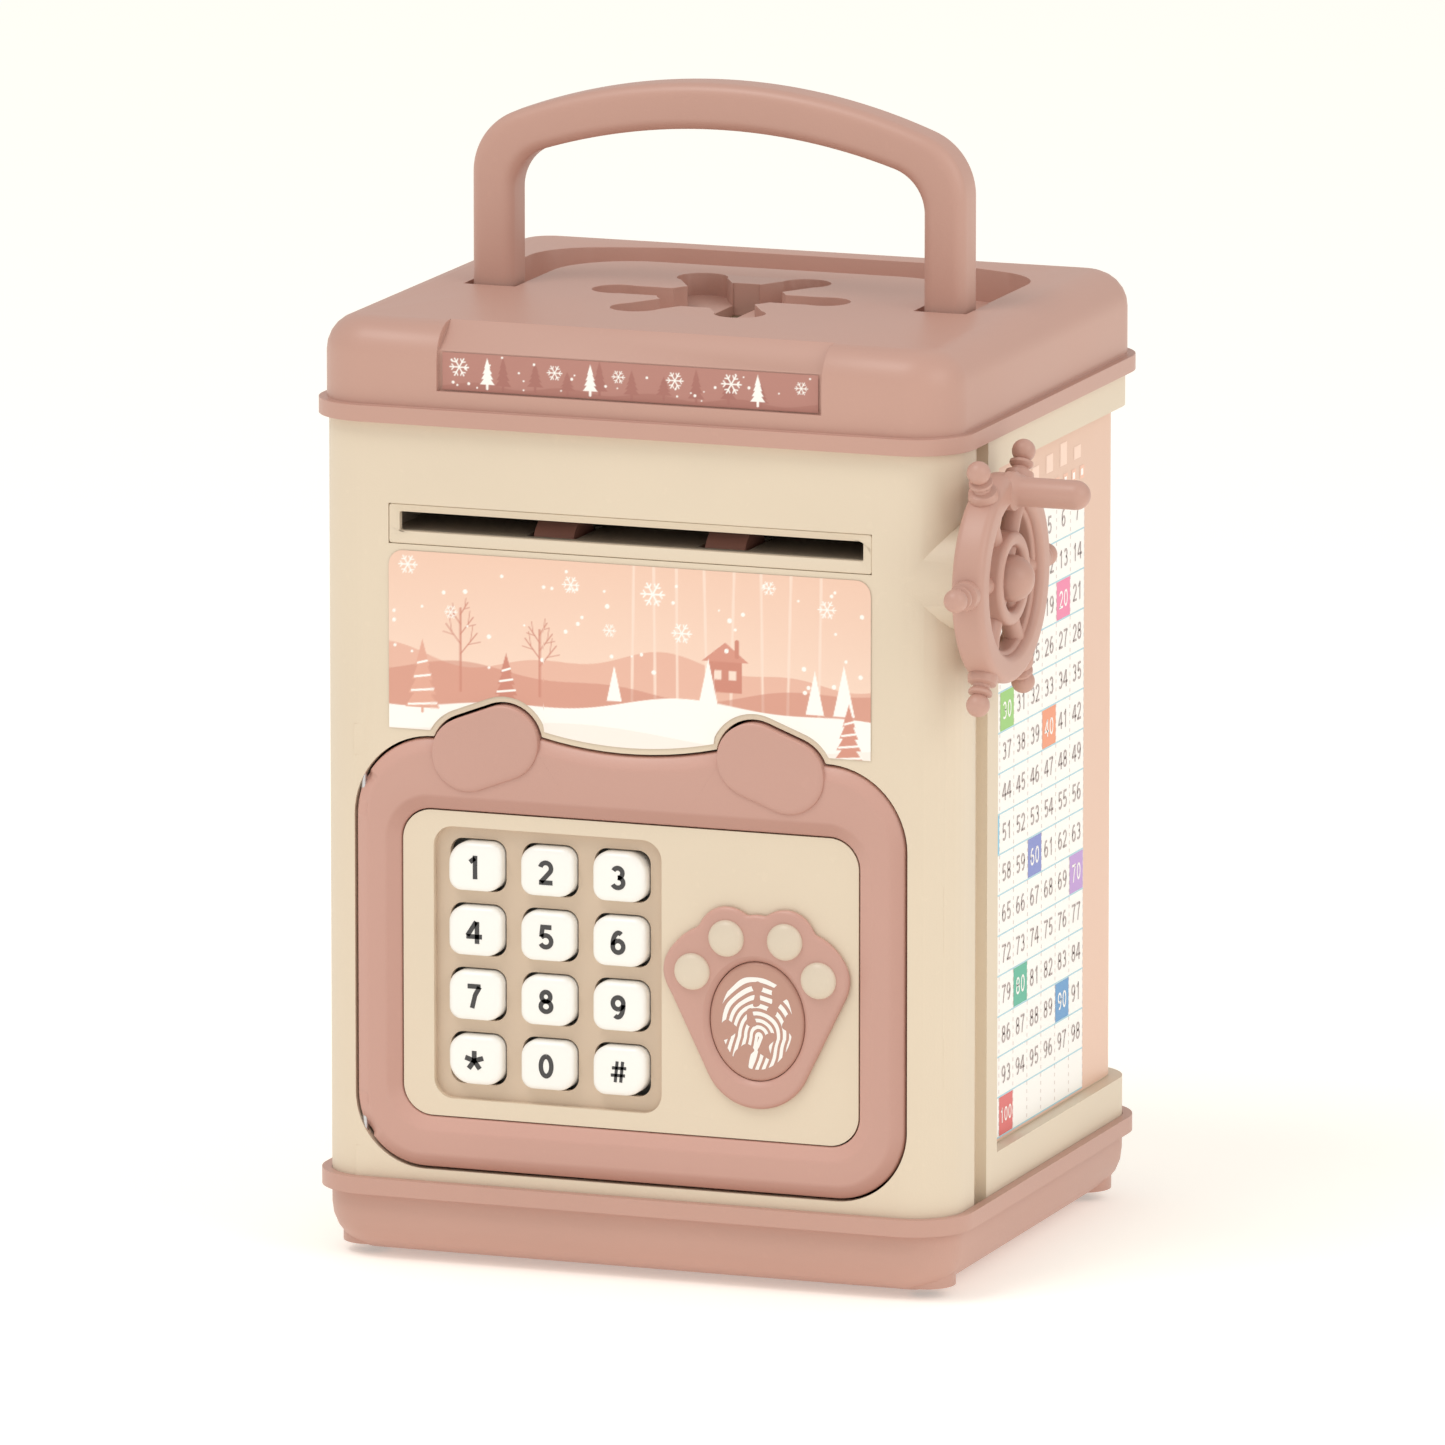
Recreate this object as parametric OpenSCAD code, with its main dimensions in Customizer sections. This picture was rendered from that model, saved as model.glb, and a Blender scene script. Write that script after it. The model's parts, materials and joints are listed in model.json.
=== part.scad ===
// Toy safe coin bank: a hand-cranked note feed, a keypad door and a folding handle.
// Millimetres, +Z up, +X right, +Y back. The origin is under the middle of the body, where the feet stand.

/* [Body] */
// Width of the body
body_w = 130; // [120:1:150]
// Depth of the body
body_d = 112.4; // [105:0.2:125]
// Radius of the upright corners
corner_r = 10; // [9.5:0.5:12]
// Wall thickness of the moulded shells
wall = 2.2; // [1.8:0.1:2.6]
// Height of the feet
foot_h = 1.2; // [1:0.1:1.4]
// Height of the lip round the base
base_top = 17; // [16:0.5:20]
// Height of the joint between body and lid
lid_z = 166.3; // [160:0.1:180]
// Height of the lid's top
lid_top = 185.8; // [180:0.1:200]
// How far the base lip and the lid flange stand out
lip_out = 2; // [1:0.1:3]

/* [Side panels] */
// Depth of the panel that holds the chart
panel_sink = 3; // [2:0.1:3.5]
// Underside of the band above the chart
panel_top = 159.3; // [150:0.1:162]
// Ledge below the chart
panel_bottom = 24.7; // [20:0.1:40]

/* [Note slot] */
// Width of the note slot
slot_w = 95.2; // [80:0.1:100]
// Underside of the note slot
slot_z = 144.9; // [144:0.1:146]
// Height of the note slot
slot_h = 3.85; // [3.5:0.05:3.9]

/* [Crank] */
// Outer radius of the ship's wheel rim
rim_r = 20.2; // [18:0.1:21]
// Radius at which the handles' balls stand
ball_reach = 26; // [24:0.5:28]
// Radius of the note rollers
roller_r = 6.4; // [6:0.1:6.5]

/* [Door] */
// Half width of the door
door_x = 56.4; // [55:0.1:56.4]
// Lowest edge of the door
door_z0 = 19.8; // [19:0.1:22]
// Shoulder height of the door
door_z1 = 104.6; // [104:0.1:105]
// Gap round the door
door_gap = 0.5; // [0.4:0.05:0.7]
// Widest opening of the door in degrees
door_open = 90; // [60:1:90]

/* [Keypad] */
// Key pitch across
key_px = 14.9; // [14:0.1:15]
// Key pitch down
key_pz = 12.75; // [12.5:0.05:13]
// Width of a key
key_w = 11; // [10:0.1:11.4]
// Height of a key
key_h = 9.7; // [9:0.1:10]
// Travel of a key
key_travel = 1.2; // [0.8:0.1:1.3]

/* [Handle] */
// Distance of a handle leg from the middle
leg_x = 46.7; // [45:0.1:48]
// Height of the handle's top
handle_top = 230.6; // [215:0.1:235]
// Width of the handle's bar as seen from the front
bar_w = 8.6; // [7:0.1:9]
// Depth of the handle's bar
bar_d = 9.5; // [8:0.1:10]

/* [Hidden] */
$fn = 48;
eps = 0.01;

pink = [0.78, 0.63, 0.57];
cream = [0.88, 0.82, 0.74];
steel = [0.7, 0.7, 0.72];
white = [0.97, 0.96, 0.93];

front_y = -body_d / 2;
back_y = body_d / 2;
side_x = body_w / 2;
inner_x = side_x - wall;
base_rim = 14.5;
base_screw_z = 6;
lip_z = 13.7;
front_end = front_y + 16.2;
back_start = front_y + 23.2;
panel_start = front_y + 29.4;

// Screw posts in the four corners
post_x = side_x - 7.5;
post_y = back_y - 10.2;
post_r = 5.6;
screw_r = 1.5;
pilot_r = screw_r + 0.05;
screw_hole_r = screw_r + 0.2;

// Crank and rollers turn about X
axle_y = front_y + 11.2;
axle_z = 141.5;
axle_r = 2;
bore_gap = 0.06;
roller_x = 17.6;
roller_w = 8.2;
nip = 0.5;
press_z = axle_z + 2 * roller_r + nip;
guide_x = 51;
rim_x0 = 68.6;
rim_w = 6.5;
boss_r = 11;
boss_x = 67.5;

// Handle pivots, and the channel that takes the folded handle
pivot_y = -1.5;
pivot_z = 182.2;
leg_y = -3.5;
pivot_r = 1.6;
arch_r = 119;
bend_r = 13;
arch_bar = 9.2;
channel_z = 179.2;
well_z = 177;
well_y0 = -9.4;
island_y = 27.5;
island_x = 41.2;
channel_gap = 0.8;
dish_y = -5;
dish_z = 181.3;
coin_slot = [5.6, 29];

// Door planes, from the front backwards
proud_y = front_y - 1;
edge_y = front_y + 0.2;
door_back_y = front_y + 3.6;
panel_y = front_y + 0.4;
keypad_y = front_y + 2;
hinge_x = -door_x + 1.2;
hinge_y = front_y + 1;
hinge_r = 0.6;
edge_inset = 2.5;
box_y = front_y + 12.2;
box_x0 = -44;
box_x1 = 43;
box_z0 = 30.5;
box_z1 = 90;
panel_half = 46.9;
panel_z0 = 30.1;
panel_z1 = 90.5;
pad_x0 = -40.6;
pad_x1 = 6.5;
pad_z0 = 33.6;
pad_z1 = 87.5;
key_x0 = -31.9;
key_z0 = 79.9;
key_front_y = front_y - 0.6;
flange_y = keypad_y + 1.7;
flange_t = 0.8;
mat_y = flange_y + flange_t + 0.6 + key_travel + 0.2;
board_y = mat_y + 1.2;
boss_back_r = 2.2;
paw_x = 26.4;
print_z = 53.6;
print_a = 9.7;
print_b = 11.7;
toes = [[13.3, 62.7], [20.3, 69.7], [32.3, 69.8], [39.2, 62.7]];
toe_r = 3.9;
ear_low = [33, 102.1];
ear_high = [25.7, 104.9];
ear_r = 7.4;

// Lock
bolt_x = 50.2;
bolt_y = front_y + 12.2;
bolt_r = 1.6;
strike_z = 60;
strike_t = 2;

// Battery box in the base: three cells side by side, lying along X
cell_r = 7.25;
cell_l = 50.5;
bay_x = 29;
bay_y0 = 2;
bay_y1 = 49;
bay_top = 20.4;
tab_y = bay_y0 - 4;

// ---------- shared shapes ----------

// Rounded rectangle about the origin
module rounded_rect(w, h, r) {
    square([w - 2 * r, h], center = true);
    square([w, h - 2 * r], center = true);
    for (x = [-1, 1], y = [-1, 1]) translate([x * (w / 2 - r), y * (h / 2 - r)]) circle(r);
}

// Plan of the body, grown outwards by g
module body_plan(g = 0) rounded_rect(body_w + 2 * g, body_d + 2 * g, corner_r + g);

// An outline drawn in X and Z, given thickness from y0 back to y1
module upright(y0, y1) translate([0, y1, 0]) rotate([90, 0, 0]) linear_extrude(y1 - y0) children();

// An outline drawn in Y and Z, given thickness from x0 to x1
module sideways(x0, x1) translate([x0, 0, 0]) rotate([90, 0, 90]) linear_extrude(x1 - x0) children();

// A flat outline given thickness from z0 to z1
module level(z0, z1) translate([0, 0, z0]) linear_extrude(z1 - z0) children();

// A rod along X
module rod_x(r, x0, x1, y, z) translate([x0, y, z]) rotate([0, 90, 0]) cylinder(r = r, h = x1 - x0);

// A rod along Y
module rod_y(r, y0, y1, x, z) translate([x, y0, z]) rotate([-90, 0, 0]) cylinder(r = r, h = y1 - y0);

// A disc with a rounded top edge
module puck(r, h, edge) rotate_extrude($fn = 32)
    polygon(concat([[0, 0], [r, 0]],
        [for (a = [0 : 15 : 90]) [r - edge + edge * cos(a), h - edge + edge * sin(a)]], [[0, h]]));

// The body's plan as a block with a rounded top edge
module soft_block(g, h, edge) hull()
    for (x = [-1, 1], y = [-1, 1])
        translate([x * (side_x - corner_r), y * (back_y - corner_r), 0]) puck(corner_r + g, h, edge);

// Repeats its children at the four corner posts, mirrored
module at_corners() for (x = [-1, 1], y = [-1, 1]) translate([x * post_x, y * post_y, 0]) children();

// Pan-head screw pointing up from z, with its head below
module screw_up(z, length, head_r = 2.8, head_h = 1.8) {
    translate([0, 0, z]) cylinder(r = screw_r, h = length);
    translate([0, 0, z - head_h]) difference() {
        cylinder(r = head_r, h = head_h);
        for (a = [0, 90]) rotate(a) translate([-1.8, -0.35, -eps]) cube([3.6, 0.7, 0.9]);
    }
}

// ---------- base ----------

// The battery box's plan, grown by g
module bay_plan(g) translate([0, (bay_y0 + bay_y1) / 2])
    square([2 * (bay_x + g), bay_y1 - bay_y0 + 2 * g], center = true);

// The cover's plan: the box and a tab for its screw
module cover_plan(g) {
    bay_plan(g);
    translate([0, tab_y]) circle(4 + g);
    translate([-4 - g, tab_y]) square([8 + 2 * g, 6]);
}

module base_tray() color(pink) difference() {
    union() {
        difference() {
            union() {
                translate([0, 0, base_rim]) mirror([0, 0, 1]) soft_block(0, base_rim - foot_h, 9);
                level(lip_z, base_top) body_plan(lip_out);
            }
            translate([0, 0, base_top]) mirror([0, 0, 1]) soft_block(-wall, base_top - foot_h - wall, 7.5);
            level(base_rim, base_top + eps) body_plan(0.1);
        }
        level(foot_h + 1, bay_top) bay_plan(1.6);
        level(foot_h + 1, foot_h + 8) translate([0, tab_y]) circle(3.4);
        at_corners() translate([0, 0, foot_h + 1]) cylinder(r = post_r, h = base_rim - foot_h - 1);
    }
    level(0, bay_top - 1.6) bay_plan(0);
    level(0, foot_h + 2) cover_plan(1.2);
    feet_rods();
    translate([0, tab_y, 0]) cylinder(r = pilot_r, h = foot_h + 6);
    at_corners() {
        translate([0, 0, -1]) cylinder(r = 3.2, h = base_screw_z + 1);
        cylinder(r = screw_hole_r, h = 20);
    }
    for (a = [0 : 60 : 300]) translate([-32 + 8 * cos(a), -22 + 8 * sin(a), 0]) cylinder(r = 1.4, h = 6);
    translate([-32, -22, 0]) cylinder(r = 1.4, h = 6);
}

// Four discs that stand in pockets of the base
module feet_rods()
    for (x = [-1, 1], y = [-1, 1]) translate([x * 41, y * 36, 0]) cylinder(r = 6, h = foot_h + 0.4);

module feet() color([0.74, 0.58, 0.53]) feet_rods();

module battery_cover() color(pink) difference() {
    union() {
        level(foot_h, foot_h + 1.8) cover_plan(1);
        for (y = [30 : 3 : 42]) translate([-6, y, foot_h - 0.4]) cube([12, 1.2, 1]);
    }
    translate([0, tab_y, 0]) cylinder(r = screw_hole_r, h = 5);
    translate([0, tab_y, 0]) cylinder(r = 2.6, h = foot_h + 0.9);
}

module battery_screw() color(steel) translate([0, tab_y, 0]) screw_up(foot_h + 0.9, 5, 2.4, 0.9);

module batteries() color([0.25, 0.4, 0.3])
    for (i = [0 : 2]) {
        y = bay_y0 + 1 + cell_r + i * 15.2;
        rod_x(cell_r, -cell_l / 2 + 1.2, cell_l / 2 - 1, y, 3.4 + cell_r);
        rod_x(2.7, cell_l / 2 - 1, cell_l / 2 + 0.6, y, 3.4 + cell_r);
    }

module battery_contacts() color(steel)
    for (i = [0 : 2]) {
        y = bay_y0 + 1 + cell_r + i * 15.2;
        translate([-bay_x, y - 5, 5]) cube([0.5, 10, 11]);
        translate([bay_x - 0.5, y - 5, 5]) cube([0.5, 10, 11]);
        rod_x(3, -bay_x + 0.5, -cell_l / 2 + 1.2, y, 3.4 + cell_r);
        rod_x(2, cell_l / 2 + 0.6, bay_x - 0.5, y, 3.4 + cell_r);
    }

module base_screws() color(steel) at_corners() screw_up(base_screw_z, 14);

module speaker() color([0.2, 0.2, 0.2]) translate([-32, -22, 3.4]) {
    cylinder(r = 18, h = 2.4);
    translate([0, 0, 2.4]) cylinder(r1 = 15, r2 = 9, h = 4);
    translate([0, 0, 6.4]) cylinder(r = 9, h = 4);
}

// ---------- shells ----------

// The door's bear-head outline, grown outwards by g
module door_outline(g = 0) {
    top_r = 16;
    low_r = 14;
    sag_r = 78;
    difference() {
        union() {
            translate([-door_x - g, door_z0 + low_r])
                square([2 * (door_x + g), door_z1 - top_r - door_z0 - low_r]);
            translate([-door_x + low_r, door_z0 - g]) square([2 * (door_x - low_r), low_r + g + eps]);
            translate([-door_x + top_r, door_z1 - top_r - eps]) square([2 * (door_x - top_r), top_r + g]);
            translate([-20, door_z1 - 2]) square([40, 3.5 + g]);
            for (s = [-1, 1]) {
                translate([s * (door_x - low_r), door_z0 + low_r]) circle(low_r + g);
                translate([s * (door_x - top_r), door_z1 - top_r]) circle(top_r + g);
            }
        }
        translate([0, door_z1 - 0.8 + sag_r]) circle(sag_r - g, $fn = 200);
    }
    ears_outline(g);
}

module ears_outline(g = 0) for (s = [0, 1]) mirror([s, 0]) ear_outline(g);

module ear_outline(g) {
    run = norm(ear_low - ear_high);
    tilt = atan2(ear_high[1] - ear_low[1], ear_low[0] - ear_high[0]);
    translate([-ear_low[0], ear_low[1]]) rotate(tilt) {
        circle(ear_r + g);
        translate([run, 0]) circle(ear_r + g);
        translate([0, -ear_r - g]) square([run, 2 * (ear_r + g)]);
    }
}

// Corner post with a pilot hole, standing on the base
module corner_post() difference() {
    translate([0, 0, base_rim]) cylinder(r = post_r, h = 18);
    translate([0, 0, base_rim - eps]) cylinder(r = pilot_r, h = 10);
}

// Lug that takes the lid's screw
module lid_lug() difference() {
    translate([0, 0, lid_z - 2.5]) cylinder(r = 5.5, h = 2.5);
    translate([0, 0, lid_z - 3]) cylinder(r = screw_hole_r, h = 4);
}

module front_shell() color(cream) difference() {
    union() {
        intersection() {
            difference() {
                level(base_rim, lid_z) body_plan();
                level(base_rim - 1, lid_z + 1) body_plan(-wall);
            }
            translate([-side_x - 1, front_y - 1, 0]) cube([body_w + 2, front_end - front_y + 1, lid_z]);
        }
        intersection() {
            union() {
                for (s = [-1, 1]) translate([s * post_x, -post_y, 0]) {
                    corner_post();
                    lid_lug();
                }
            }
            level(0, lid_z) body_plan(-0.5);
        }
        rod_x(boss_r, 55, boss_x, axle_y, axle_z);
        // bosses that hold the ends of the hinge pins
        intersection() {
            union() {
                translate([hinge_x, hinge_y, 100.5]) cylinder(r = 2, h = 6);
                translate([hinge_x, hinge_y, 15]) cylinder(r = 2, h = 8);
            }
            translate([-60, front_y, 0]) cube([10, 6, 120]);
        }
        // stop behind the door's free edge
        upright(door_back_y + 0.3, door_back_y + 2) difference() {
            translate([door_x - 3, 42]) square([side_x - door_x + 1, 40]);
            translate([door_x - 3.1, strike_z - 8]) square([20, 16]);
        }
    }
    upright(front_y - 1, front_y + wall + 0.4) door_outline(door_gap);
    upright(front_y - 1, front_y + 0.8) translate([0, slot_z + slot_h / 2 - 0.4])
        square([slot_w + 4, slot_h + 4.05], center = true);
    upright(front_y - 1, front_y + wall + eps) translate([0, slot_z + slot_h / 2])
        square([slot_w, slot_h], center = true);
    rod_x(boss_r - wall, 50, side_x - 0.6, axle_y, axle_z);
    rod_x(4, side_x - 2, boss_x + 1, axle_y, axle_z);
    translate([hinge_x, hinge_y, 15]) cylinder(r = hinge_r, h = 100);
}

module back_shell() color(cream) difference() {
    union() {
        intersection() {
            difference() {
                level(base_rim, lid_z) body_plan();
                level(base_rim - 1, lid_z + 1) body_plan(-panel_sink - wall);
                level(panel_bottom, panel_top) difference() {
                    translate([-side_x - 1, panel_start]) square([body_w + 2, body_d]);
                    body_plan(-panel_sink);
                }
            }
            translate([-side_x - 1, back_start, 0]) cube([body_w + 2, body_d, lid_z]);
        }
        // tongue that the front shell slides over
        intersection() {
            difference() {
                level(base_rim, lid_z) body_plan(-wall - 0.1);
                level(base_rim - 1, lid_z + 1) body_plan(-wall - 1.8);
            }
            translate([-side_x, front_end - 2.5, 0]) cube([body_w, back_start - front_end + 3, lid_z]);
        }
        intersection() {
            union() for (s = [-1, 1]) translate([s * post_x, post_y, 0]) {
                corner_post();
                lid_lug();
            }
            level(0, lid_z) body_plan(-panel_sink - 0.5);
        }
    }
    rod_x(boss_r + 0.3, 50, boss_x, axle_y, axle_z);
    // room for the front shell's posts beside the tongue
    for (s = [-1, 1]) translate([s * post_x, -post_y, 0]) cylinder(r = post_r + 0.3, h = lid_z + 1);
    // room for the heads of the lid's screws beside the thicker wall
    for (s = [-1, 1]) translate([s * post_x, post_y, lid_z - 14.5]) cylinder(r = 3.1, h = 12);
}

// Printed sheet round the sunk panel: right side, back and left side
module chart_sticker() color([0.9, 0.79, 0.71]) intersection() {
    level(panel_bottom + 0.3, panel_top - 0.3) difference() {
        body_plan(-panel_sink + 0.2);
        body_plan(-panel_sink);
    }
    translate([-side_x, panel_start + 0.3, 0]) cube([body_w, body_d, lid_z]);
}

module picture_sticker() color([0.94, 0.82, 0.74]) upright(front_y - 0.2, front_y) difference() {
    translate([0, 122.4]) rounded_rect(99, 37.8, 3);
    door_outline(door_gap + 1.3);
}

// ---------- lid ----------

// A wide arch between two upright sides: the side bends run smoothly into the arch
module arch_outline(half, bend, top) {
    arch_z = top - arch_r;
    bend_x = half - bend;
    bend_z = arch_z + sqrt(pow(arch_r - bend, 2) - bend_x * bend_x);
    past = arch_r / (arch_r - bend) + 0.05;
    translate([-half, pivot_z - 20]) square([2 * half, bend_z - pivot_z + 20]);
    for (s = [-1, 1]) translate([s * bend_x, bend_z]) circle(bend);
    intersection() {
        polygon([[-bend_x, bend_z - eps], [bend_x, bend_z - eps],
            [bend_x * past, arch_z + (bend_z - arch_z) * past],
            [-bend_x * past, arch_z + (bend_z - arch_z) * past]]);
        translate([0, arch_z]) circle(arch_r, $fn = 240);
    }
}

// The handle's outline as seen from the front, grown by g
module handle_outline(g) arch_outline(leg_x + bar_w / 2 + g, bend_r + g, handle_top + g);

// The finger hole's outline
module handle_hole() arch_outline(leg_x - bar_w / 2, 9, handle_top - arch_bar);

// Channel that the handle folds into, in plan
module channel_plan(g = 0) difference() {
    intersection() {
        translate([0, pivot_y - pivot_z]) handle_outline(channel_gap + g);
        translate([-70, well_y0 - g]) square([140, 80]);
    }
    translate([-island_x + g, well_y0 - 20]) square([2 * (island_x - g), island_y + 20 - well_y0 - 16]);
    intersection() {
        translate([-island_x + g, -10]) square([2 * (island_x - g), island_y + 10 - g]);
        union() {
            for (s = [-1, 1]) translate([s * (island_x - 16), island_y - 16]) circle(16 - g);
            translate([-island_x + 16, -10]) square([2 * (island_x - 16), island_y + 10 - g]);
        }
    }
}

// Six round-ended arms about the middle of the coin dish, in plan
module dish_plan() translate([0, dish_y]) {
    circle(12.5);
    for (a = [0 : 60 : 300]) rotate(a) {
        translate([0, -4.6]) square([20, 9.2]);
        translate([21.5, 0]) circle(5);
    }
}

module top_lid() color(pink) difference() {
    union() {
        difference() {
            union() {
                translate([0, 0, lid_z]) soft_block(0.4, lid_top - lid_z, 7);
                level(lid_z, lid_z + 3.2) body_plan(lip_out);
            }
            difference() {
                level(lid_z - eps, lid_top - 2.4) body_plan(-wall);
                level(channel_z - 2, lid_top) channel_plan(2);
                level(dish_z - 2, lid_top) translate([0, dish_y]) circle(30);
                for (s = [-1, 1]) translate([s * leg_x - 9, well_y0 - 2.4, well_z - 2]) cube([18, 16, 20]);
                at_corners() cylinder(r = 4, h = lid_top);
                // backing for the sunk name plate
                translate([-42, front_y, 170]) cube([84, 5, 20]);
            }
        }
    }
    level(channel_z, lid_top + 1) channel_plan();
    for (s = [-1, 1]) translate([s * leg_x - 5.3, well_y0, well_z]) cube([10.6, 13, 20]);
    level(dish_z, lid_top + 1) dish_plan();
    level(100, lid_top + 1) translate([0, dish_y]) square(coin_slot, center = true);
    for (s = [-1, 1]) rod_x(pivot_r, s * leg_x - 8.4, s * leg_x + 8.4, pivot_y, pivot_z);
    at_corners() cylinder(r = pilot_r, h = lid_z + 9);
    // sunk place for the name plate, with a sloping upper face
    sideways(-39.4, 39.4) polygon([
        [front_y - 3, 172.9], [front_y + 0.8, 172.9], [front_y + 0.8, 180.8],
        [front_y + 7.5, lid_top + 0.1], [front_y - 3, lid_top + 0.1]
    ]);
}

module name_plate() color([0.71, 0.5, 0.45])
    upright(front_y + 0.5, front_y + 0.8) translate([0, 176.85]) rounded_rect(77, 7.3, 0.8);

module lid_screws() color(steel) at_corners() screw_up(lid_z - 2.5, 10);

module coin_chute() color(cream) difference() {
    level(158, dish_z - 2) translate([0, dish_y]) square([10, 33], center = true);
    level(157, dish_z) translate([0, dish_y]) square([6.4, 29.8], center = true);
}

module handle() color(pink) difference() {
    upright(leg_y - bar_d / 2, leg_y + bar_d / 2) intersection() {
        difference() {
            handle_outline(0);
            handle_hole();
        }
        translate([-100, pivot_z - 3.4]) square([200, 80]);
    }
    rod_x(pivot_r + bore_gap, -60, 60, pivot_y, pivot_z);
}

module handle_pins() color(steel)
    for (s = [-1, 1]) rod_x(pivot_r, s * leg_x - 8.4, s * leg_x + 8.4, pivot_y, pivot_z);

// ---------- note feed ----------

module note_guide() color([0.85, 0.83, 0.8]) difference() {
    union() {
        for (z = [slot_z - 1.4, slot_z + slot_h]) translate([-guide_x, front_y + wall, z])
            cube([2 * guide_x, 22, 1.4]);
        for (s = [-1, 1]) translate([s * guide_x - 1.2, front_y + wall, axle_z - 7]) cube([2.4, 22, 28]);
    }
    for (s = [-1, 1]) translate([s * roller_x - 5.2, axle_y - roller_r - 0.8, axle_z - 10])
        cube([10.4, 2 * roller_r + 1.6, 40]);
    for (z = [axle_z, press_z]) rod_x(axle_r + bore_gap, -60, 60, axle_y, z);
}

module crank_axle() color(steel) rod_x(axle_r, -guide_x - 3, rim_x0 + 3, axle_y, axle_z);

module roller_pair(z) for (s = [-1, 1]) difference() {
    rod_x(roller_r, s * roller_x - roller_w / 2, s * roller_x + roller_w / 2, axle_y, z);
    rod_x(axle_r, -60, 60, axle_y, z);
}

module drive_rollers() color([0.66, 0.47, 0.4]) roller_pair(axle_z);

module axle_bushing() color(white) difference() {
    union() {
        rod_x(4, side_x - 0.6, boss_x, axle_y, axle_z);
        rod_x(5.5, side_x - 2.1, side_x - 0.6, axle_y, axle_z);
    }
    rod_x(axle_r + bore_gap, 50, 80, axle_y, axle_z);
}

// Ring about the crank's axle, from x0 to x1
module axle_ring(r_out, r_in, x0, x1) difference() {
    rod_x(r_out, x0, x1, axle_y, axle_z);
    rod_x(r_in, x0 - 1, x1 + 1, axle_y, axle_z);
}

// One spoke and its turned handle, pointing up
module wheel_spoke() {
    mid = rim_x0 + rim_w / 2;
    translate([mid, 0, 0]) {
        cylinder(r = 1.85, h = ball_reach);
        translate([0, 0, rim_r - 1]) cylinder(r = 2.75, h = 2.4);
        translate([0, 0, ball_reach]) sphere(2.3);
        translate([0, 0, ball_reach - 2.6]) cylinder(r = 2.4, h = 0.9);
    }
}

module ship_wheel() color(pink) {
    difference() {
        union() {
            axle_ring(rim_r, rim_r - 5.4, rim_x0, rim_x0 + rim_w);
            axle_ring(9.1, 6.3, rim_x0 + 0.6, rim_x0 + rim_w - 0.2);
            rod_x(4.6, rim_x0 - 0.7, rim_x0 + rim_w, axle_y, axle_z);
            translate([0, axle_y, axle_z]) for (a = [30 : 60 : 330]) rotate([a, 0, 0]) wheel_spoke();
            translate([rim_x0 + rim_w - 1.2, axle_y, axle_z]) rotate([0, 90, 0]) intersection() {
                sphere(4.6);
                cylinder(r = 5, h = 5);
            }
        }
        rod_x(axle_r, 60, rim_x0 + 3, axle_y, axle_z);
    }
    // crank peg on the rim
    rod_x(2.85, rim_x0 + rim_w - 2, 87, axle_y, axle_z + 17);
    translate([87, axle_y, axle_z + 17]) sphere(2.85);
}

module pressure_axle() color(steel) rod_x(axle_r, -guide_x - 3, guide_x + 3, axle_y, press_z);

module pressure_rollers() color([0.3, 0.3, 0.3]) roller_pair(press_z);

// ---------- door ----------

// Room for the shell's edge as the door swings: the cut follows the rounded corner's distance from the hinge
module hinge_relief(cz, r, up) {
    reach = -door_x + r;
    steps = [for (i = [0 : 8]) i * 1.35];
    edge = function(t) reach - sqrt(r * r - t * t) - hinge_x;
    translate([-door_x - 1, 0, 0]) rotate([90, 0, 90]) linear_extrude(door_x + 1 + hinge_x + 1.15)
        polygon(concat(
            [for (t = steps) [hinge_y + edge(t) - door_gap + 0.15, cz + up * t]],
            [[front_y - 5, cz + up * 10.8], [front_y - 5, cz]]));
}

module door_frame() color(pink) difference() {
    union() {
        upright(edge_y, door_back_y) door_outline();
        upright(proud_y, edge_y) difference() {
            door_outline(-edge_inset);
            ears_outline(0.3);
        }
    }
    upright(proud_y - 1, door_back_y + 1) translate([0, (panel_z0 + panel_z1) / 2])
        rounded_rect(2 * panel_half, panel_z1 - panel_z0, 6);
    upright(proud_y - 1, proud_y + 0.7) translate([0, (panel_z0 + panel_z1) / 2])
        rounded_rect(2 * panel_half + 3, panel_z1 - panel_z0 + 3, 7.5);
    translate([hinge_x, hinge_y, 0]) cylinder(r = hinge_r + bore_gap, h = 120);
    hinge_relief(door_z1 - 16, 16, 1);
    hinge_relief(door_z0 + 14, 14, -1);
}

module door_ears() color(pink) upright(front_y - 1.8, edge_y) ears_outline(-0.1);

// Repeats its children at the four screws of the door's back cover
module door_corners() for (x = [box_x0 + 4, box_x1 - 4], z = [box_z0 + 4, box_z1 - 4])
    translate([x, 0, z]) children();

module key_grid() for (i = [0 : 2], j = [0 : 3])
    translate([key_x0 + i * key_px, key_z0 - j * key_pz]) children();

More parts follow.
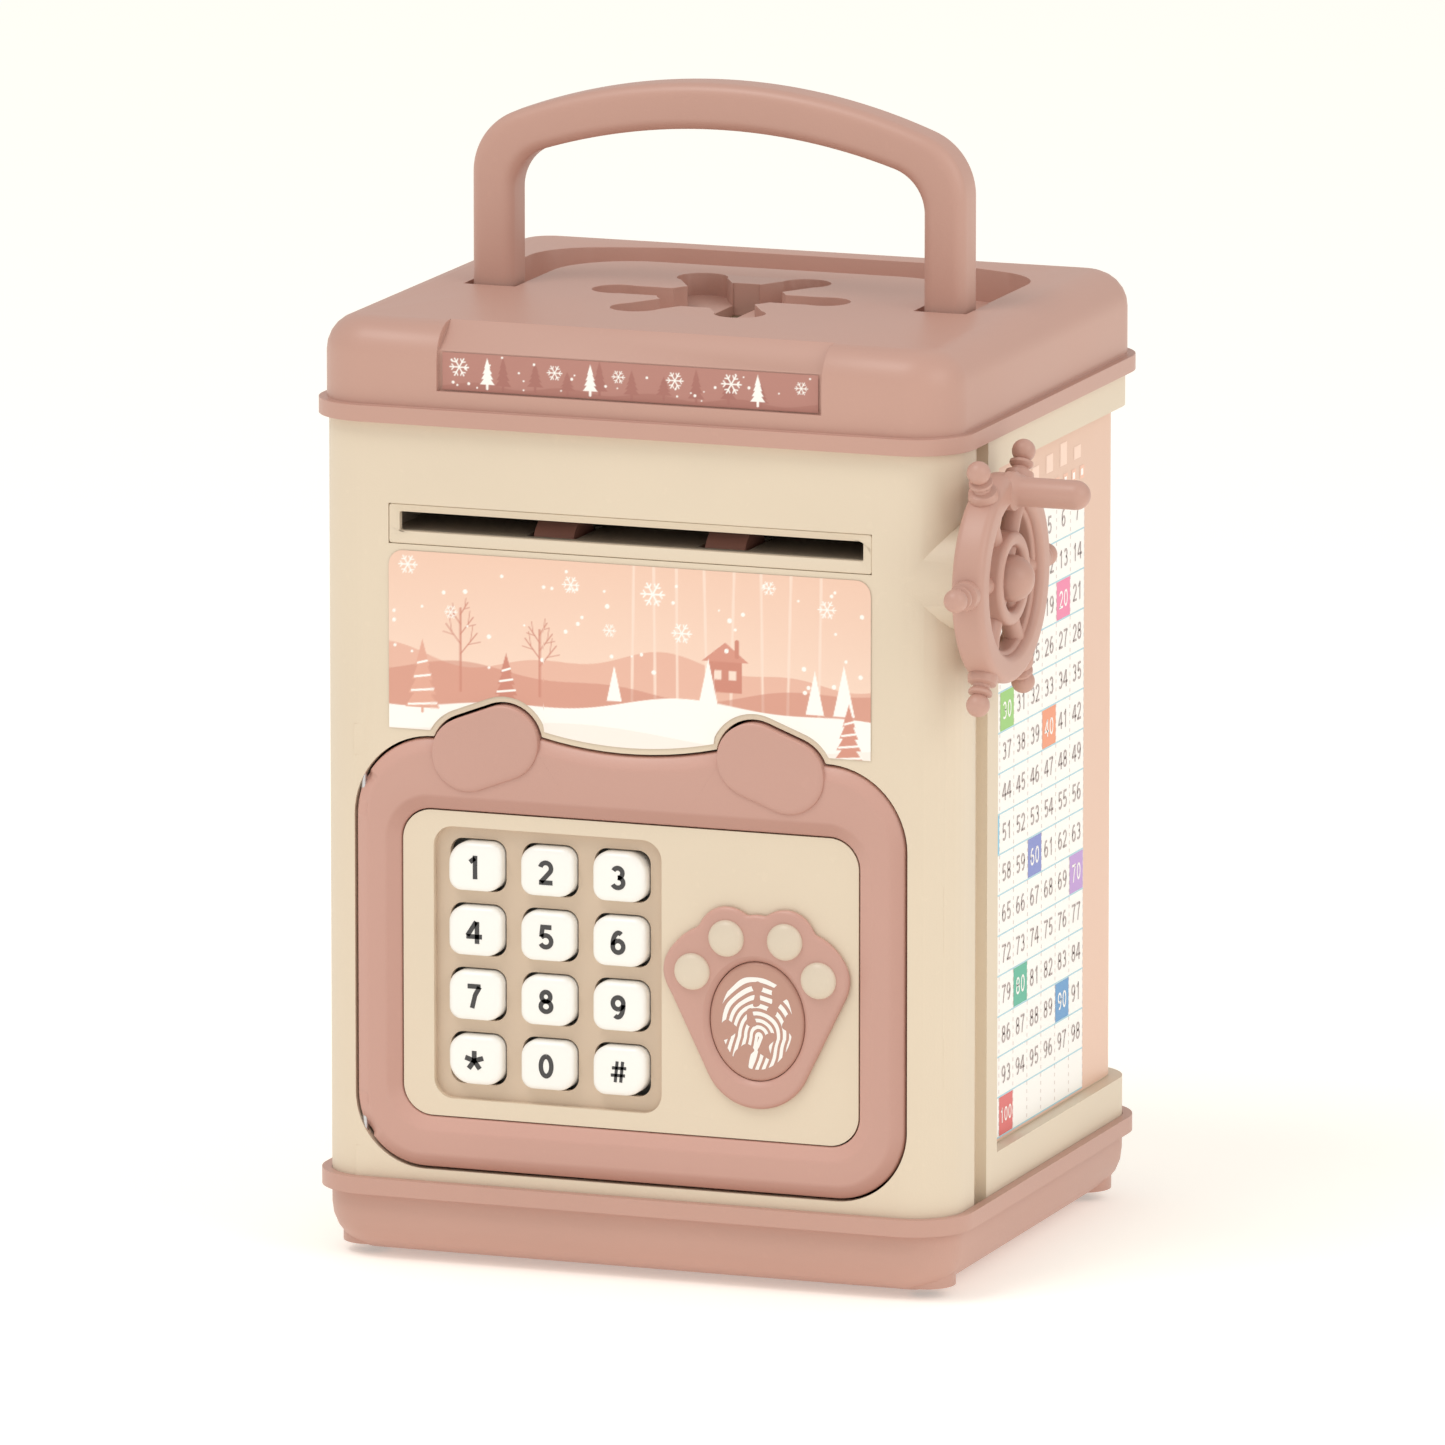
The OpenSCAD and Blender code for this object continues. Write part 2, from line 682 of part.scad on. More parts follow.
module door_panel() color(cream) difference() {
    union() {
        upright(panel_y, panel_y + 2) translate([0, (panel_z0 + panel_z1) / 2])
            rounded_rect(2 * panel_half, panel_z1 - panel_z0, 6);
        upright(panel_y, keypad_y + 1.6) translate([(pad_x0 + pad_x1) / 2, (pad_z0 + pad_z1) / 2])
            rounded_rect(pad_x1 - pad_x0 + 3, pad_z1 - pad_z0 + 3, 5.5);
        door_corners() rod_y(boss_back_r, panel_y + 1, board_y, 0, 0);
    }
    upright(panel_y - 1, keypad_y) translate([(pad_x0 + pad_x1) / 2, (pad_z0 + pad_z1) / 2])
        rounded_rect(pad_x1 - pad_x0, pad_z1 - pad_z0, 4);
    door_corners() rod_y(pilot_r, panel_y + 2.6, board_y + 1, 0, 0);
    upright(panel_y - 1, keypad_y + 3) key_grid() rounded_rect(key_w + 0.6, key_h + 0.6, 2.6);
    upright(panel_y - 1, panel_y + 3) print_outline(0.3);
}

// The fingerprint pad's oval, grown by g
module print_outline(g) translate([paw_x, print_z])
    polygon([for (a = [0 : 10 : 350]) [(print_a + g) * cos(a), (print_b + g) * sin(a)]]);

// Paw print: a wide pad with four lobes for the toes
module paw_outline(g) {
    hull() {
        translate([paw_x, 47.6]) circle(11.2 + g);
        translate([paw_x - 9, 62.3]) circle(9.6 + g);
        translate([paw_x + 9, 62.3]) circle(9.6 + g);
    }
    for (t = toes) translate(t) circle(6.2 + g);
    // webs that keep the notches between the toes shallow
    translate([paw_x, 69]) circle(5.6 + g);
    for (s = [-1, 1]) translate([paw_x + s * 9.6, 66.2]) circle(4.3 + g);
}

module paw_plate() color(pink) difference() {
    upright(front_y - 1, panel_y) paw_outline(0);
    upright(front_y - 2, panel_y + 1) print_outline(0.3);
    for (t = toes) rod_y(toe_r + 0.05, front_y - 2, front_y - 0.2, t[0], t[1]);
}

module toe_caps() color(cream) for (t = toes) intersection() {
    rod_y(toe_r, front_y - 4, front_y - 0.2, t[0], t[1]);
    translate([t[0], front_y + 3.6, t[1]]) sphere(6.2);
}

module fingerprint_button() color([0.75, 0.58, 0.52]) {
    upright(front_y - 0.6, panel_y + 2.4) print_outline(0);
    upright(panel_y + 2.4, panel_y + 3.2) print_outline(1);
}

module key(i, j) color(white) translate([key_x0 + i * key_px, 0, key_z0 - j * key_pz]) {
    upright(key_front_y, flange_y) rounded_rect(key_w, key_h, 2.4);
    upright(flange_y, flange_y + flange_t) rounded_rect(key_w + 1.4, key_h + 1.4, 2.4);
    rod_y(2, flange_y + flange_t, flange_y + flange_t + 0.6, 0, 0);
}

module key_1() key(0, 0);
module key_2() key(1, 0);
module key_3() key(2, 0);
module key_4() key(0, 1);
module key_5() key(1, 1);
module key_6() key(2, 1);
module key_7() key(0, 2);
module key_8() key(1, 2);
module key_9() key(2, 2);
module key_star() key(0, 3);
module key_0() key(1, 3);
module key_hash() key(2, 3);

module key_mat() color([0.6, 0.6, 0.58]) {
    difference() {
        upright(mat_y + 0.4, board_y) translate([(pad_x0 + pad_x1) / 2, (pad_z0 + pad_z1) / 2])
            square([pad_x1 - pad_x0, pad_z1 - pad_z0 + 1], center = true);
        door_corners() rod_y(boss_back_r + 0.3, mat_y, board_y + 1, 0, 0);
    }
    for (i = [0 : 2], j = [0 : 3])
        rod_y(2.6, mat_y, mat_y + 0.5, key_x0 + i * key_px, key_z0 - j * key_pz);
}

module control_board() color([0.15, 0.4, 0.25]) {
    difference() {
        translate([box_x0 + 2, board_y, box_z0 + 2]) cube([box_x1 - box_x0 - 4, 1.4, box_z1 - box_z0 - 4]);
        door_corners() rod_y(screw_hole_r, board_y - 1, board_y + 3, 0, 0);
    }
    translate([12, board_y - 1, 70]) cube([12, 1, 12]);
    translate([paw_x - 3, panel_y + 4.4, print_z - 3]) cube([6, board_y - panel_y - 4.4, 6]);
}

module door_back() color(cream) difference() {
    translate([box_x0, door_back_y, box_z0]) cube([box_x1 - box_x0, box_y - door_back_y, box_z1 - box_z0]);
    translate([box_x0 + 1.6, door_back_y - 1, box_z0 + 1.6])
        cube([box_x1 - box_x0 - 3.2, box_y - door_back_y - 0.6, box_z1 - box_z0 - 3.2]);
    door_corners() rod_y(screw_hole_r, front_y, box_y + 1, 0, 0);
}

module door_screws() color(steel) door_corners() {
    rod_y(screw_r, box_y - 8.5, box_y, 0, 0);
    rod_y(2.8, box_y, box_y + 1.4, 0, 0);
}

module strike_plate() color(steel) difference() {
    translate([bolt_x - 4, door_back_y, strike_z]) cube([8, bolt_y + 4 - door_back_y, strike_t]);
    translate([bolt_x - 2.3, bolt_y - 2.3, strike_z - 1]) cube([4.6, 4.6, 4]);
}

module hinge_pins() color(steel) {
    translate([hinge_x, hinge_y, 84]) cylinder(r = hinge_r, h = 20);
    translate([hinge_x, hinge_y, 16]) cylinder(r = hinge_r, h = 22);
}

// ---------- lock ----------

module lock_solenoid() color([0.75, 0.45, 0.2]) difference() {
    translate([bolt_x - 4.9, bolt_y - 5, 66]) cube([9.8, 10, 24]);
    translate([bolt_x, bolt_y, 60]) cylinder(r = bolt_r + bore_gap, h = 26);
}

module lock_bracket() color(steel) {
    translate([bolt_x + 4.9, bolt_y - 5, 64]) cube([1.2, 10, 28]);
    translate([bolt_x + 6.1, bolt_y - 1, 64]) cube([inner_x - bolt_x - 6.1, 2, 28]);
}

module lock_bolt() color([0.8, 0.8, 0.82])
    translate([bolt_x, bolt_y, strike_z + strike_t + 0.6]) cylinder(r = bolt_r, h = 16);

base_tray();
feet();
battery_cover();
battery_screw();
batteries();
battery_contacts();
base_screws();
speaker();
front_shell();
back_shell();
chart_sticker();
picture_sticker();
top_lid();
name_plate();
lid_screws();
coin_chute();
handle();
handle_pins();
note_guide();
crank_axle();
drive_rollers();
axle_bushing();
ship_wheel();
pressure_axle();
pressure_rollers();
door_frame();
door_ears();
door_panel();
paw_plate();
toe_caps();
fingerprint_button();
key_1();
key_2();
key_3();
key_4();
key_5();
key_6();
key_7();
key_8();
key_9();
key_star();
key_0();
key_hash();
key_mat();
control_board();
door_back();
door_screws();
strike_plate();
hinge_pins();
lock_bracket();
lock_solenoid();
lock_bolt();
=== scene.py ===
"""Looks for the toy safe coin bank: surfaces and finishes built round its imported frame.

Lengths inside the shape functions are millimetres in the frame's own axes: +X right, +Y back, +Z up.
"""

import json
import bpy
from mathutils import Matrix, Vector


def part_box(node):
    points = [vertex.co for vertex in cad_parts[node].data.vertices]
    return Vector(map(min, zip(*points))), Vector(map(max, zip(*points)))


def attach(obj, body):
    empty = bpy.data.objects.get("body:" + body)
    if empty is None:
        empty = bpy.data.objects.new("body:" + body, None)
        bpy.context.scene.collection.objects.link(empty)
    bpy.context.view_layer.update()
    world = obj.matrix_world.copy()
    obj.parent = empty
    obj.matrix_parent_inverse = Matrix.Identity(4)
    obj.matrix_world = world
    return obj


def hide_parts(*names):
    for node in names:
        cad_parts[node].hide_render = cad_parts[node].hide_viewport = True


bl_info = {
    "name": "Toy Safe Coin Bank",
    "version": (1, 0, 0),
    "blender": (4, 5, 0),
    "location": "View3D > Sidebar > Coin Bank",
    "description": "Builds the pieces, finishes and stage of a toy safe coin bank",
    "category": "Add Mesh",
}

import bmesh
import bpy
import numpy as np
from bpy.props import FloatProperty, FloatVectorProperty, PointerProperty
from mathutils import Vector

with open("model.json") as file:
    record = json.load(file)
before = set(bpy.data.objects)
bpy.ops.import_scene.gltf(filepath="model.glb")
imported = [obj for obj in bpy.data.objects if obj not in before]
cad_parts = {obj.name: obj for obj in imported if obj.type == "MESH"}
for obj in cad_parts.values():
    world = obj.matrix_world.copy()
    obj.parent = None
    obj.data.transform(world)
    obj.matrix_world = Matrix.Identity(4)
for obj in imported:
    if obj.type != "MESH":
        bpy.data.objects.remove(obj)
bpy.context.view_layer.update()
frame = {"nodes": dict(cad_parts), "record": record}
NODES = frame["nodes"]
MM = 0.001
TURN = 2 * np.pi


def box_mm(node):
    """A node's lowest and highest corner in millimetres."""
    low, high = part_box(node)
    return np.array(low) / MM, np.array(high) / MM


# ---------- places read from the frame ----------

SHELL_LOW, SHELL_HIGH = box_mm("front_shell")
BODY_X = box_mm("back_shell")[1][0]
BACK_Y = box_mm("back_shell")[1][1]
FRONT_Y = SHELL_LOW[1]
DOOR_LOW, DOOR_HIGH = box_mm("door_frame")
DOOR_HALF = DOOR_HIGH[0]
PANEL_LOW, PANEL_HIGH = box_mm("door_panel")
HINGE_X, HINGE_Y = -DOOR_HALF + 1.2, FRONT_Y + 1
PRINT_LOW, PRINT_HIGH = box_mm("fingerprint_button")
PRINT_X = (PRINT_LOW[0] + PRINT_HIGH[0]) / 2
PRINT_Z = (PRINT_LOW[2] + PRINT_HIGH[2]) / 2
AXLE_LOW, AXLE_HIGH = box_mm("crank_axle")
AXLE_Y = (AXLE_LOW[1] + AXLE_HIGH[1]) / 2
AXLE_Z = (AXLE_LOW[2] + AXLE_HIGH[2]) / 2
WHEEL_LOW, WHEEL_HIGH = box_mm("ship_wheel")
HANDLE_LOW, HANDLE_HIGH = box_mm("handle")
CHART_X = box_mm("chart_sticker")[1][0]
PICTURE_LOW, PICTURE_HIGH = box_mm("picture_sticker")
PLATE_LOW, PLATE_HIGH = box_mm("name_plate")

KEYS = {
    "key_1": "1", "key_2": "2", "key_3": "3", "key_4": "4", "key_5": "5", "key_6": "6",
    "key_7": "7", "key_8": "8", "key_9": "9", "key_star": "*", "key_0": "0", "key_hash": "#",
}
TOES = [(13.3, 62.7), (20.3, 69.7), (32.3, 69.8), (39.2, 62.7)]
EAR_LOW, EAR_HIGH, EAR_R = (33.0, 102.1), (25.7, 104.9), 7.3


# ---------- outlines, as N x 2 arrays ----------


def arc(cx, cz, radius, start, end, count):
    """Points on a circle: the centre plus the radius times (cos, sin) of evenly spaced angles in degrees."""
    angle = np.radians(np.linspace(start, end, count))
    return np.stack([cx + radius * np.cos(angle), cz + radius * np.sin(angle)], 1)


def rounded_rect(half_w, half_h, radii, cx=0.0, cz=0.0, count=10):
    """Four quarter arcs, counterclockwise from the lower right; radii is one number or one per corner."""
    radii = np.broadcast_to(np.asarray(radii, float), 4)
    signs = [(1, -1), (1, 1), (-1, 1), (-1, -1)]
    parts = [
        arc(cx + sx * (half_w - r), cz + sz * (half_h - r), r, 90 * i - 90, 90 * i, count)
        for i, ((sx, sz), r) in enumerate(zip(signs, radii))
    ]
    return np.concatenate(parts)


def resample(outline, count):
    """Points evenly spaced by length along a closed outline."""
    closed = np.vstack([outline, outline[:1]])
    step = np.linalg.norm(np.diff(closed, axis=0), axis=1)
    keep = np.concatenate([[True], step > 1e-6])
    closed, run = closed[keep], np.concatenate([[0], np.cumsum(step)])[keep]
    at = np.linspace(0, run[-1], count, endpoint=False)
    return np.stack([np.interp(at, run, closed[:, i]) for i in (0, 1)], 1)


def ellipse(cx, cz, a, b, count):
    """An upright ellipse with half axes a and b."""
    angle = np.linspace(0, TURN, count, endpoint=False)
    return np.stack([cx + a * np.cos(angle), cz + b * np.sin(angle)], 1)


def outward(outline):
    """Unit normals of a counterclockwise outline: neighbours' difference, turned a quarter clockwise."""
    along = np.roll(outline, -1, 0) - np.roll(outline, 1, 0)
    normal = np.stack([along[:, 1], -along[:, 0]], 1)
    return normal / np.maximum(np.linalg.norm(normal, axis=1, keepdims=True), 1e-9)


def by_angle(outline, centre, angles):
    """Where rays from the centre at those angles meet a star-shaped outline, by its own points' angles."""
    fine = resample(outline, 2400) - centre
    own = np.arctan2(fine[:, 1], fine[:, 0])
    order = np.argsort(own)
    radius = np.interp(
        angles, own[order], np.hypot(fine[:, 0], fine[:, 1])[order], period=TURN
    )
    return centre + radius[:, None] * np.stack([np.cos(angles), np.sin(angles)], 1)


def door_outline():
    """The door without its ears: upright sides, round corners and a top that dips in the middle."""
    low, top = DOOR_LOW[2], 104.6
    foot, shoulder, dip_r, dip_x = 14.0, 16.0, 78.0, 18.0
    dip_z = top - 0.8 + dip_r
    half = np.linspace(dip_x, 0, 24)
    right = np.concatenate(
        [
            [[0, low]],
            arc(DOOR_HALF - foot, low + foot, foot, -90, 0, 20),
            arc(DOOR_HALF - shoulder, top - shoulder, shoulder, 0, 90, 22),
            [[26, top + 0.2], [22, top + 0.7]],
            np.stack([half, dip_z - np.sqrt(dip_r**2 - half**2)], 1),
        ]
    )
    left = right[::-1] * [-1, 1]
    return np.concatenate([right, left[1:-1]])


def ear_outline(side, grow=0.0):
    """Two equal circles and the lines that touch both, leaning up to the middle; side is -1 or 1."""
    run, rise = EAR_LOW[0] - EAR_HIGH[0], EAR_HIGH[1] - EAR_LOW[1]
    tilt, r = np.degrees(np.arctan2(rise, run)), EAR_R + grow
    left = np.concatenate(
        [
            arc(-EAR_LOW[0], EAR_LOW[1], r, tilt + 90, tilt + 270, 30),
            arc(-EAR_HIGH[0], EAR_HIGH[1], r, tilt - 90, tilt + 90, 30),
        ]
    )
    return resample(left if side < 0 else left[::-1] * [-1, 1], 120)


def paw_outline(centre, angles):
    """A paw: the farthest of a tapering pad's and four toes' ray lengths, blended where they meet."""
    direction = np.stack([np.cos(angles), np.sin(angles)], 1)

    def reach(cx, cz, r):
        offset = np.array([cx, cz]) - centre
        along = direction @ offset
        inside = r * r - (offset @ offset - along**2)
        return np.where(inside > 0, along + np.sqrt(np.maximum(inside, 0)), 0)

    heel, ball = np.array([PRINT_X, 47.6]), np.array([PRINT_X, 62.3])
    pads = [
        (heel[0] * (1 - s) + (ball[0] + 9 * side) * s, heel[1] * (1 - s) + ball[1] * s, 11.2 - 1.6 * s)
        for side in (-1, 1)
        for s in np.linspace(0, 1, 12)
    ]
    webs = [(PRINT_X, 69.0, 5.6), (16.8, 66.2, 4.3), (2 * PRINT_X - 16.8, 66.2, 4.3)]
    lobes = [np.max([reach(*p) for p in pads], 0)]
    lobes += [reach(x, z, 6.1) for x, z in TOES] + [reach(*web) for web in webs]
    sharp = 3.0
    shift = 60
    radius = np.log(np.exp(np.array(lobes) * sharp - shift).sum(0)) / sharp + shift / sharp
    return centre + radius[:, None] * direction


# ---------- signs ----------


def bow(cx, cz, a, b, start, end, count=22):
    """Part of an upright ellipse, as a stroke's middle line."""
    return (arc(0, 0, 1.0, start, end, count) * [a, b]) + [cx, cz]


# Each sign is a few strokes in a box one unit high about its own middle
SIGNS = {
    "0": [bow(0, 0, 0.235, 0.42, 90, 450, 40)],
    "1": [np.array([(-0.17, 0.22), (0.06, 0.40)]), np.array([(0.06, 0.50), (0.06, -0.50)])],
    "2": [np.concatenate([bow(0, 0.18, 0.24, 0.24, 168, -38), [(-0.22, -0.42)]]),
          np.array([(-0.3, -0.43), (0.3, -0.43)])],
    "3": [bow(-0.01, 0.21, 0.21, 0.21, 155, -90), bow(-0.01, -0.20, 0.245, 0.22, 90, -155)],
    "4": [np.array([(0.14, -0.5), (0.14, 0.44)]), np.array([(0.10, 0.44), (-0.29, -0.17)]),
          np.array([(-0.34, -0.2), (0.36, -0.2)])],
    "5": [np.array([(0.25, 0.43), (-0.15, 0.43), (-0.20, 0.01)]), bow(-0.01, -0.17, 0.25, 0.25, 142, -152)],
    "6": [bow(0, -0.17, 0.235, 0.25, 90, 450, 36), bow(0.02, -0.1, 0.255, 0.52, 182, 62)],
    "7": [np.array([(-0.29, 0.43), (0.29, 0.43)]), np.array([(0.25, 0.42), (0.05, 0.06), (-0.09, -0.5)])],
    "8": [bow(0, 0.22, 0.195, 0.2, 90, 450, 32), bow(0, -0.2, 0.235, 0.22, 90, 450, 36)],
    "9": [bow(0, 0.17, 0.235, 0.25, -90, 270, 36), bow(-0.02, 0.1, 0.255, 0.52, 2, -118)],
    "#": [np.array(line) * 0.42 for line in (
        [(-0.3, -1), (-0.1, 1)], [(0.25, -1), (0.45, 1)],
        [(-0.62, 0.36), (0.8, 0.36)], [(-0.74, -0.34), (0.68, -0.34)])],
    "*": [np.array([(0, 0), (0.36 * np.sin(t), 0.36 * np.cos(t))]) for t in np.arange(5) * TURN / 5],
}


# Sideways step from sign to sign, as a share of their height
SIGN_STEP = 0.78


def ribbon(line, width):
    """A stroke's two edges: its middle line moved out along the mitre of the neighbouring directions."""
    step = np.diff(line, axis=0)
    step /= np.linalg.norm(step, axis=1, keepdims=True)
    side = np.stack([step[:, 1], -step[:, 0]], 1)
    before, after = np.vstack([side[:1], side]), np.vstack([side, side[-1:]])
    mitre = (before + after) / np.maximum(1 + (before * after).sum(1, keepdims=True), 0.35)
    return np.stack([line + mitre * width / 2, line - mitre * width / 2], 1)


# ---------- surfaces ----------


def grid_faces(rows, columns, wrap_rows=False, wrap_columns=True):
    """Quads between neighbours of a rows x columns grid of points."""
    r = np.arange(rows if wrap_rows else rows - 1)
    c = np.arange(columns if wrap_columns else columns - 1)
    r, c = (a.ravel() for a in np.meshgrid(r, c, indexing="ij"))
    r2, c2 = (r + 1) % rows, (c + 1) % columns
    return np.stack([r * columns + c, r * columns + c2, r2 * columns + c2, r2 * columns + c], 1)


def piece(name, points, faces, finish, body, slot, replaces=(), smooth=32.0, recalc=True):
    """One welded mesh from points in millimetres, finished and tied to its body. Its slot is not used."""
    mesh = bpy.data.meshes.new(name)
    faces = faces.tolist() if isinstance(faces, np.ndarray) else faces
    mesh.from_pydata((np.asarray(points, float).reshape(-1, 3) * MM).tolist(), [], faces)
    if recalc:
        shape = bmesh.new()
        shape.from_mesh(mesh)
        bmesh.ops.remove_doubles(shape, verts=shape.verts, dist=2e-7)
        bmesh.ops.dissolve_degenerate(shape, dist=1e-7, edges=shape.edges)
        bmesh.ops.recalc_face_normals(shape, faces=shape.faces)
        shape.to_mesh(mesh)
        shape.free()
    mesh.shade_smooth()
    mesh.set_sharp_from_angle(angle=np.radians(smooth))
    made = bpy.data.objects.new(name, mesh)
    bpy.context.scene.collection.objects.link(made)
    mesh.materials.append(finish)
    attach(made, body)
    if replaces:
        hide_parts(*replaces)
    return made


def bevel(made, width, angle=38.0, segments=3):
    """Rounds a piece's edges that turn by more than the angle."""
    edge = made.modifiers.new("Soft edges", "BEVEL")
    edge.width, edge.segments = width * MM, segments
    edge.limit_method, edge.angle_limit = "ANGLE", np.radians(angle)
    edge.harden_normals = True
    return made


def softened(node, width, finish, body, segments=3):
    """A CAD node's copy: triangles welded, flat neighbours joined, edges rounded by the width."""
    shape = bmesh.new()
    shape.from_mesh(NODES[node].data)
    bmesh.ops.remove_doubles(shape, verts=shape.verts, dist=2e-6)
    bmesh.ops.dissolve_limit(
        shape, angle_limit=np.radians(0.4), verts=shape.verts, edges=shape.edges
    )
    mesh = bpy.data.meshes.new(node + "_soft")
    shape.to_mesh(mesh)
    shape.free()
    mesh.shade_smooth()
    mesh.set_sharp_from_angle(angle=np.radians(32))
    made = bpy.data.objects.new(node + "_soft", mesh)
    bpy.context.scene.collection.objects.link(made)
    mesh.materials.append(finish)
    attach(made, body)
    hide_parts(node)
    return bevel(made, width, segments=segments) if width else made


def edge_tone(made, gain=1.0, low_y=None):
    """Paints light and shade into the edge attribute: points whose normal leans up or left get a painted
    highlight, those leaning down or right a painted shade; or, with low_y, the points that lie behind it get
    a painted shade.
    """
    points, normals = (np.empty(len(made.data.vertices) * 3, np.float32) for _ in range(2))
    made.data.vertices.foreach_get("co", points)
    made.data.vertices.foreach_get("normal", normals)
    # painted light: how far each normal faces a light from above and the left
    lean = (normals[2::3] - 0.45 * normals[0::3]) * gain
    if low_y is not None:
        # painted shade on everything behind low_y, such as a sunk recess floor
        lean = np.where(points[1::3] / MM > low_y, -0.7, 0.0)
    made.data.attributes.new("edge", "FLOAT", "POINT").data.foreach_set("value", np.clip(lean, -1, 1))
    return made


def rounded_edge(inset, y_side, y_front, count=7):
    """A quarter ellipse from the side at y_side to the front at y_front, as (inset, y) pairs."""
    angle = np.linspace(0, np.pi / 2, count)
    return list(zip(inset * (1 - np.cos(angle)), y_side + (y_front - y_side) * np.sin(angle)))


def pad_points(outline, section, dome=0.0, rings=6):
    """A closed pad: the outline drawn in by each inset at its y, then rings that crown to the middle."""
    normal, middle = outward(outline), outline.mean(0)
    rows = [np.insert(outline - normal * inset, 1, y, 1) for inset, y in section]
    last, y_last = outline - normal * section[-1][0], section[-1][1]
    for s in np.linspace(1, 0, rings + 1)[1:]:
        rows.append(np.insert(middle + (last - middle) * s, 1, y_last - dome * (1 - s * s), 1))
    back = np.insert(middle + (outline - middle) * 0, 1, section[0][1], 1)
    return np.array([back] + rows)


def ring_points(outer, inner, outer_section, inner_section):
    """A closed ring: its section runs over the outer edge, across the front and down the inner edge."""
    out_n, in_n = outward(outer), outward(inner)
    rows = [np.insert(outer - out_n * inset, 1, y, 1) for inset, y in outer_section]
    rows += [np.insert(inner + in_n * inset, 1, y, 1) for inset, y in inner_section]
    return np.array(rows)


def turned(profile, origin, axis, count=40):
    """A lathe shape: each (radius, height) swings a full turn round the axis through the origin."""
    axis = np.asarray(axis, float) / np.linalg.norm(axis)
    side = np.cross(axis, [0.31, 0.52, 0.79])
    side /= np.linalg.norm(side)
    other = np.cross(axis, side)
    angle = np.linspace(0, TURN, count, endpoint=False)[None, :, None]
    radius, height = (np.asarray(profile, float)[:, i][:, None, None] for i in (0, 1))
    return np.asarray(origin, float) + height * axis + radius * (np.cos(angle) * side + np.sin(angle) * other)


class Build:
    """Gathers several grids into one mesh's points and faces."""

    def __init__(self):
        self.points, self.faces, self.total = [], [], 0

    def add(self, grid, wrap_rows=False, wrap_columns=True):
        rows, columns = grid.shape[:2]
        self.faces.append(grid_faces(rows, columns, wrap_rows, wrap_columns) + self.total)
        self.points.append(grid.reshape(-1, 3))
        self.total += rows * columns
        return self

    def piece(self, *args, **options):
        name, rest = args[0], args[1:]
        return piece(name, np.concatenate(self.points), np.concatenate(self.faces), *rest, **options)


# ---------- finishes ----------


class Wire:
    """A socket that takes part in sums: each operator adds the Math node that works it out."""

    def __init__(self, recipe, socket):
        self.recipe, self.socket = recipe, socket

    def sum(self, operation, *terms):
        return self.recipe.add("ShaderNodeMath", {"operation": operation}, dict(enumerate(terms)))

    def __add__(self, other):
        return self.sum("ADD", self, other)

    def __sub__(self, other):
        return self.sum("SUBTRACT", self, other)

    def __rsub__(self, other):
        return self.sum("SUBTRACT", other, self)

    def __mul__(self, other):
        return self.sum("MULTIPLY", self, other)

    def __truediv__(self, other):
        return self.sum("DIVIDE", self, other)

    __radd__, __rmul__ = __add__, __mul__

    def over(self, limit):
        return self.sum("GREATER_THAN", self, limit)

    def under(self, limit):
        return self.sum("LESS_THAN", self, limit)


class Recipe:
    """A material under construction, ending in one Principled shader."""

    def __init__(self, name, roughness=0.45, **constants):
        self.material = bpy.data.materials.new(name)
        self.material.use_nodes = True
        self.tree = self.material.node_tree
        self.shader = self.tree.nodes["Principled BSDF"]
        self.shader.inputs["Roughness"].default_value = roughness
        for socket, value in constants.items():
            self.shader.inputs[socket.replace("_", " ")].default_value = value

    def add(self, kind, settings=None, values=None, out=0):
        """Any node: its settings come first, then the values or wires of its sockets."""
        node = self.tree.nodes.new(kind)
        for name, value in (settings or {}).items():
            setattr(node, name, value)
        for name, value in (values or {}).items():
            self.put(node.inputs[name], value)
        return Wire(self, node.outputs[out])

    def put(self, socket, value):
        if isinstance(value, Wire):
            self.tree.links.new(value.socket, socket)
        else:
            socket.default_value = value

    def mix(self, share, first, second):
        """A blend of two colours by share."""
        settings = {"data_type": "RGBA"}
        return self.add("ShaderNodeMix", settings, {0: share, 6: first, 7: second}, out=2)

    def place(self):
        return self.add("ShaderNodeTexCoord", out=3)

    def noise(self, scale, detail=2.0, vector=None):
        values = {"Vector": vector or self.place(), "Scale": scale, "Detail": detail}
        return self.add("ShaderNodeTexNoise", {}, values)

    def bump(self, height, distance, strength=1.0):
        values = {"Strength": strength, "Distance": distance, "Height": height}
        self.put(self.shader.inputs["Normal"], self.add("ShaderNodeBump", {}, values))

    def done(self, colour=None, roughness=None):
        if colour is not None:
            self.put(self.shader.inputs["Base Color"], colour)
        if roughness is not None:
            self.put(self.shader.inputs["Roughness"], roughness)
        return self.material


def tint(colour, factor=1.0):
    return tuple(min(1.0, c * factor) for c in colour[:3]) + (1.0,)


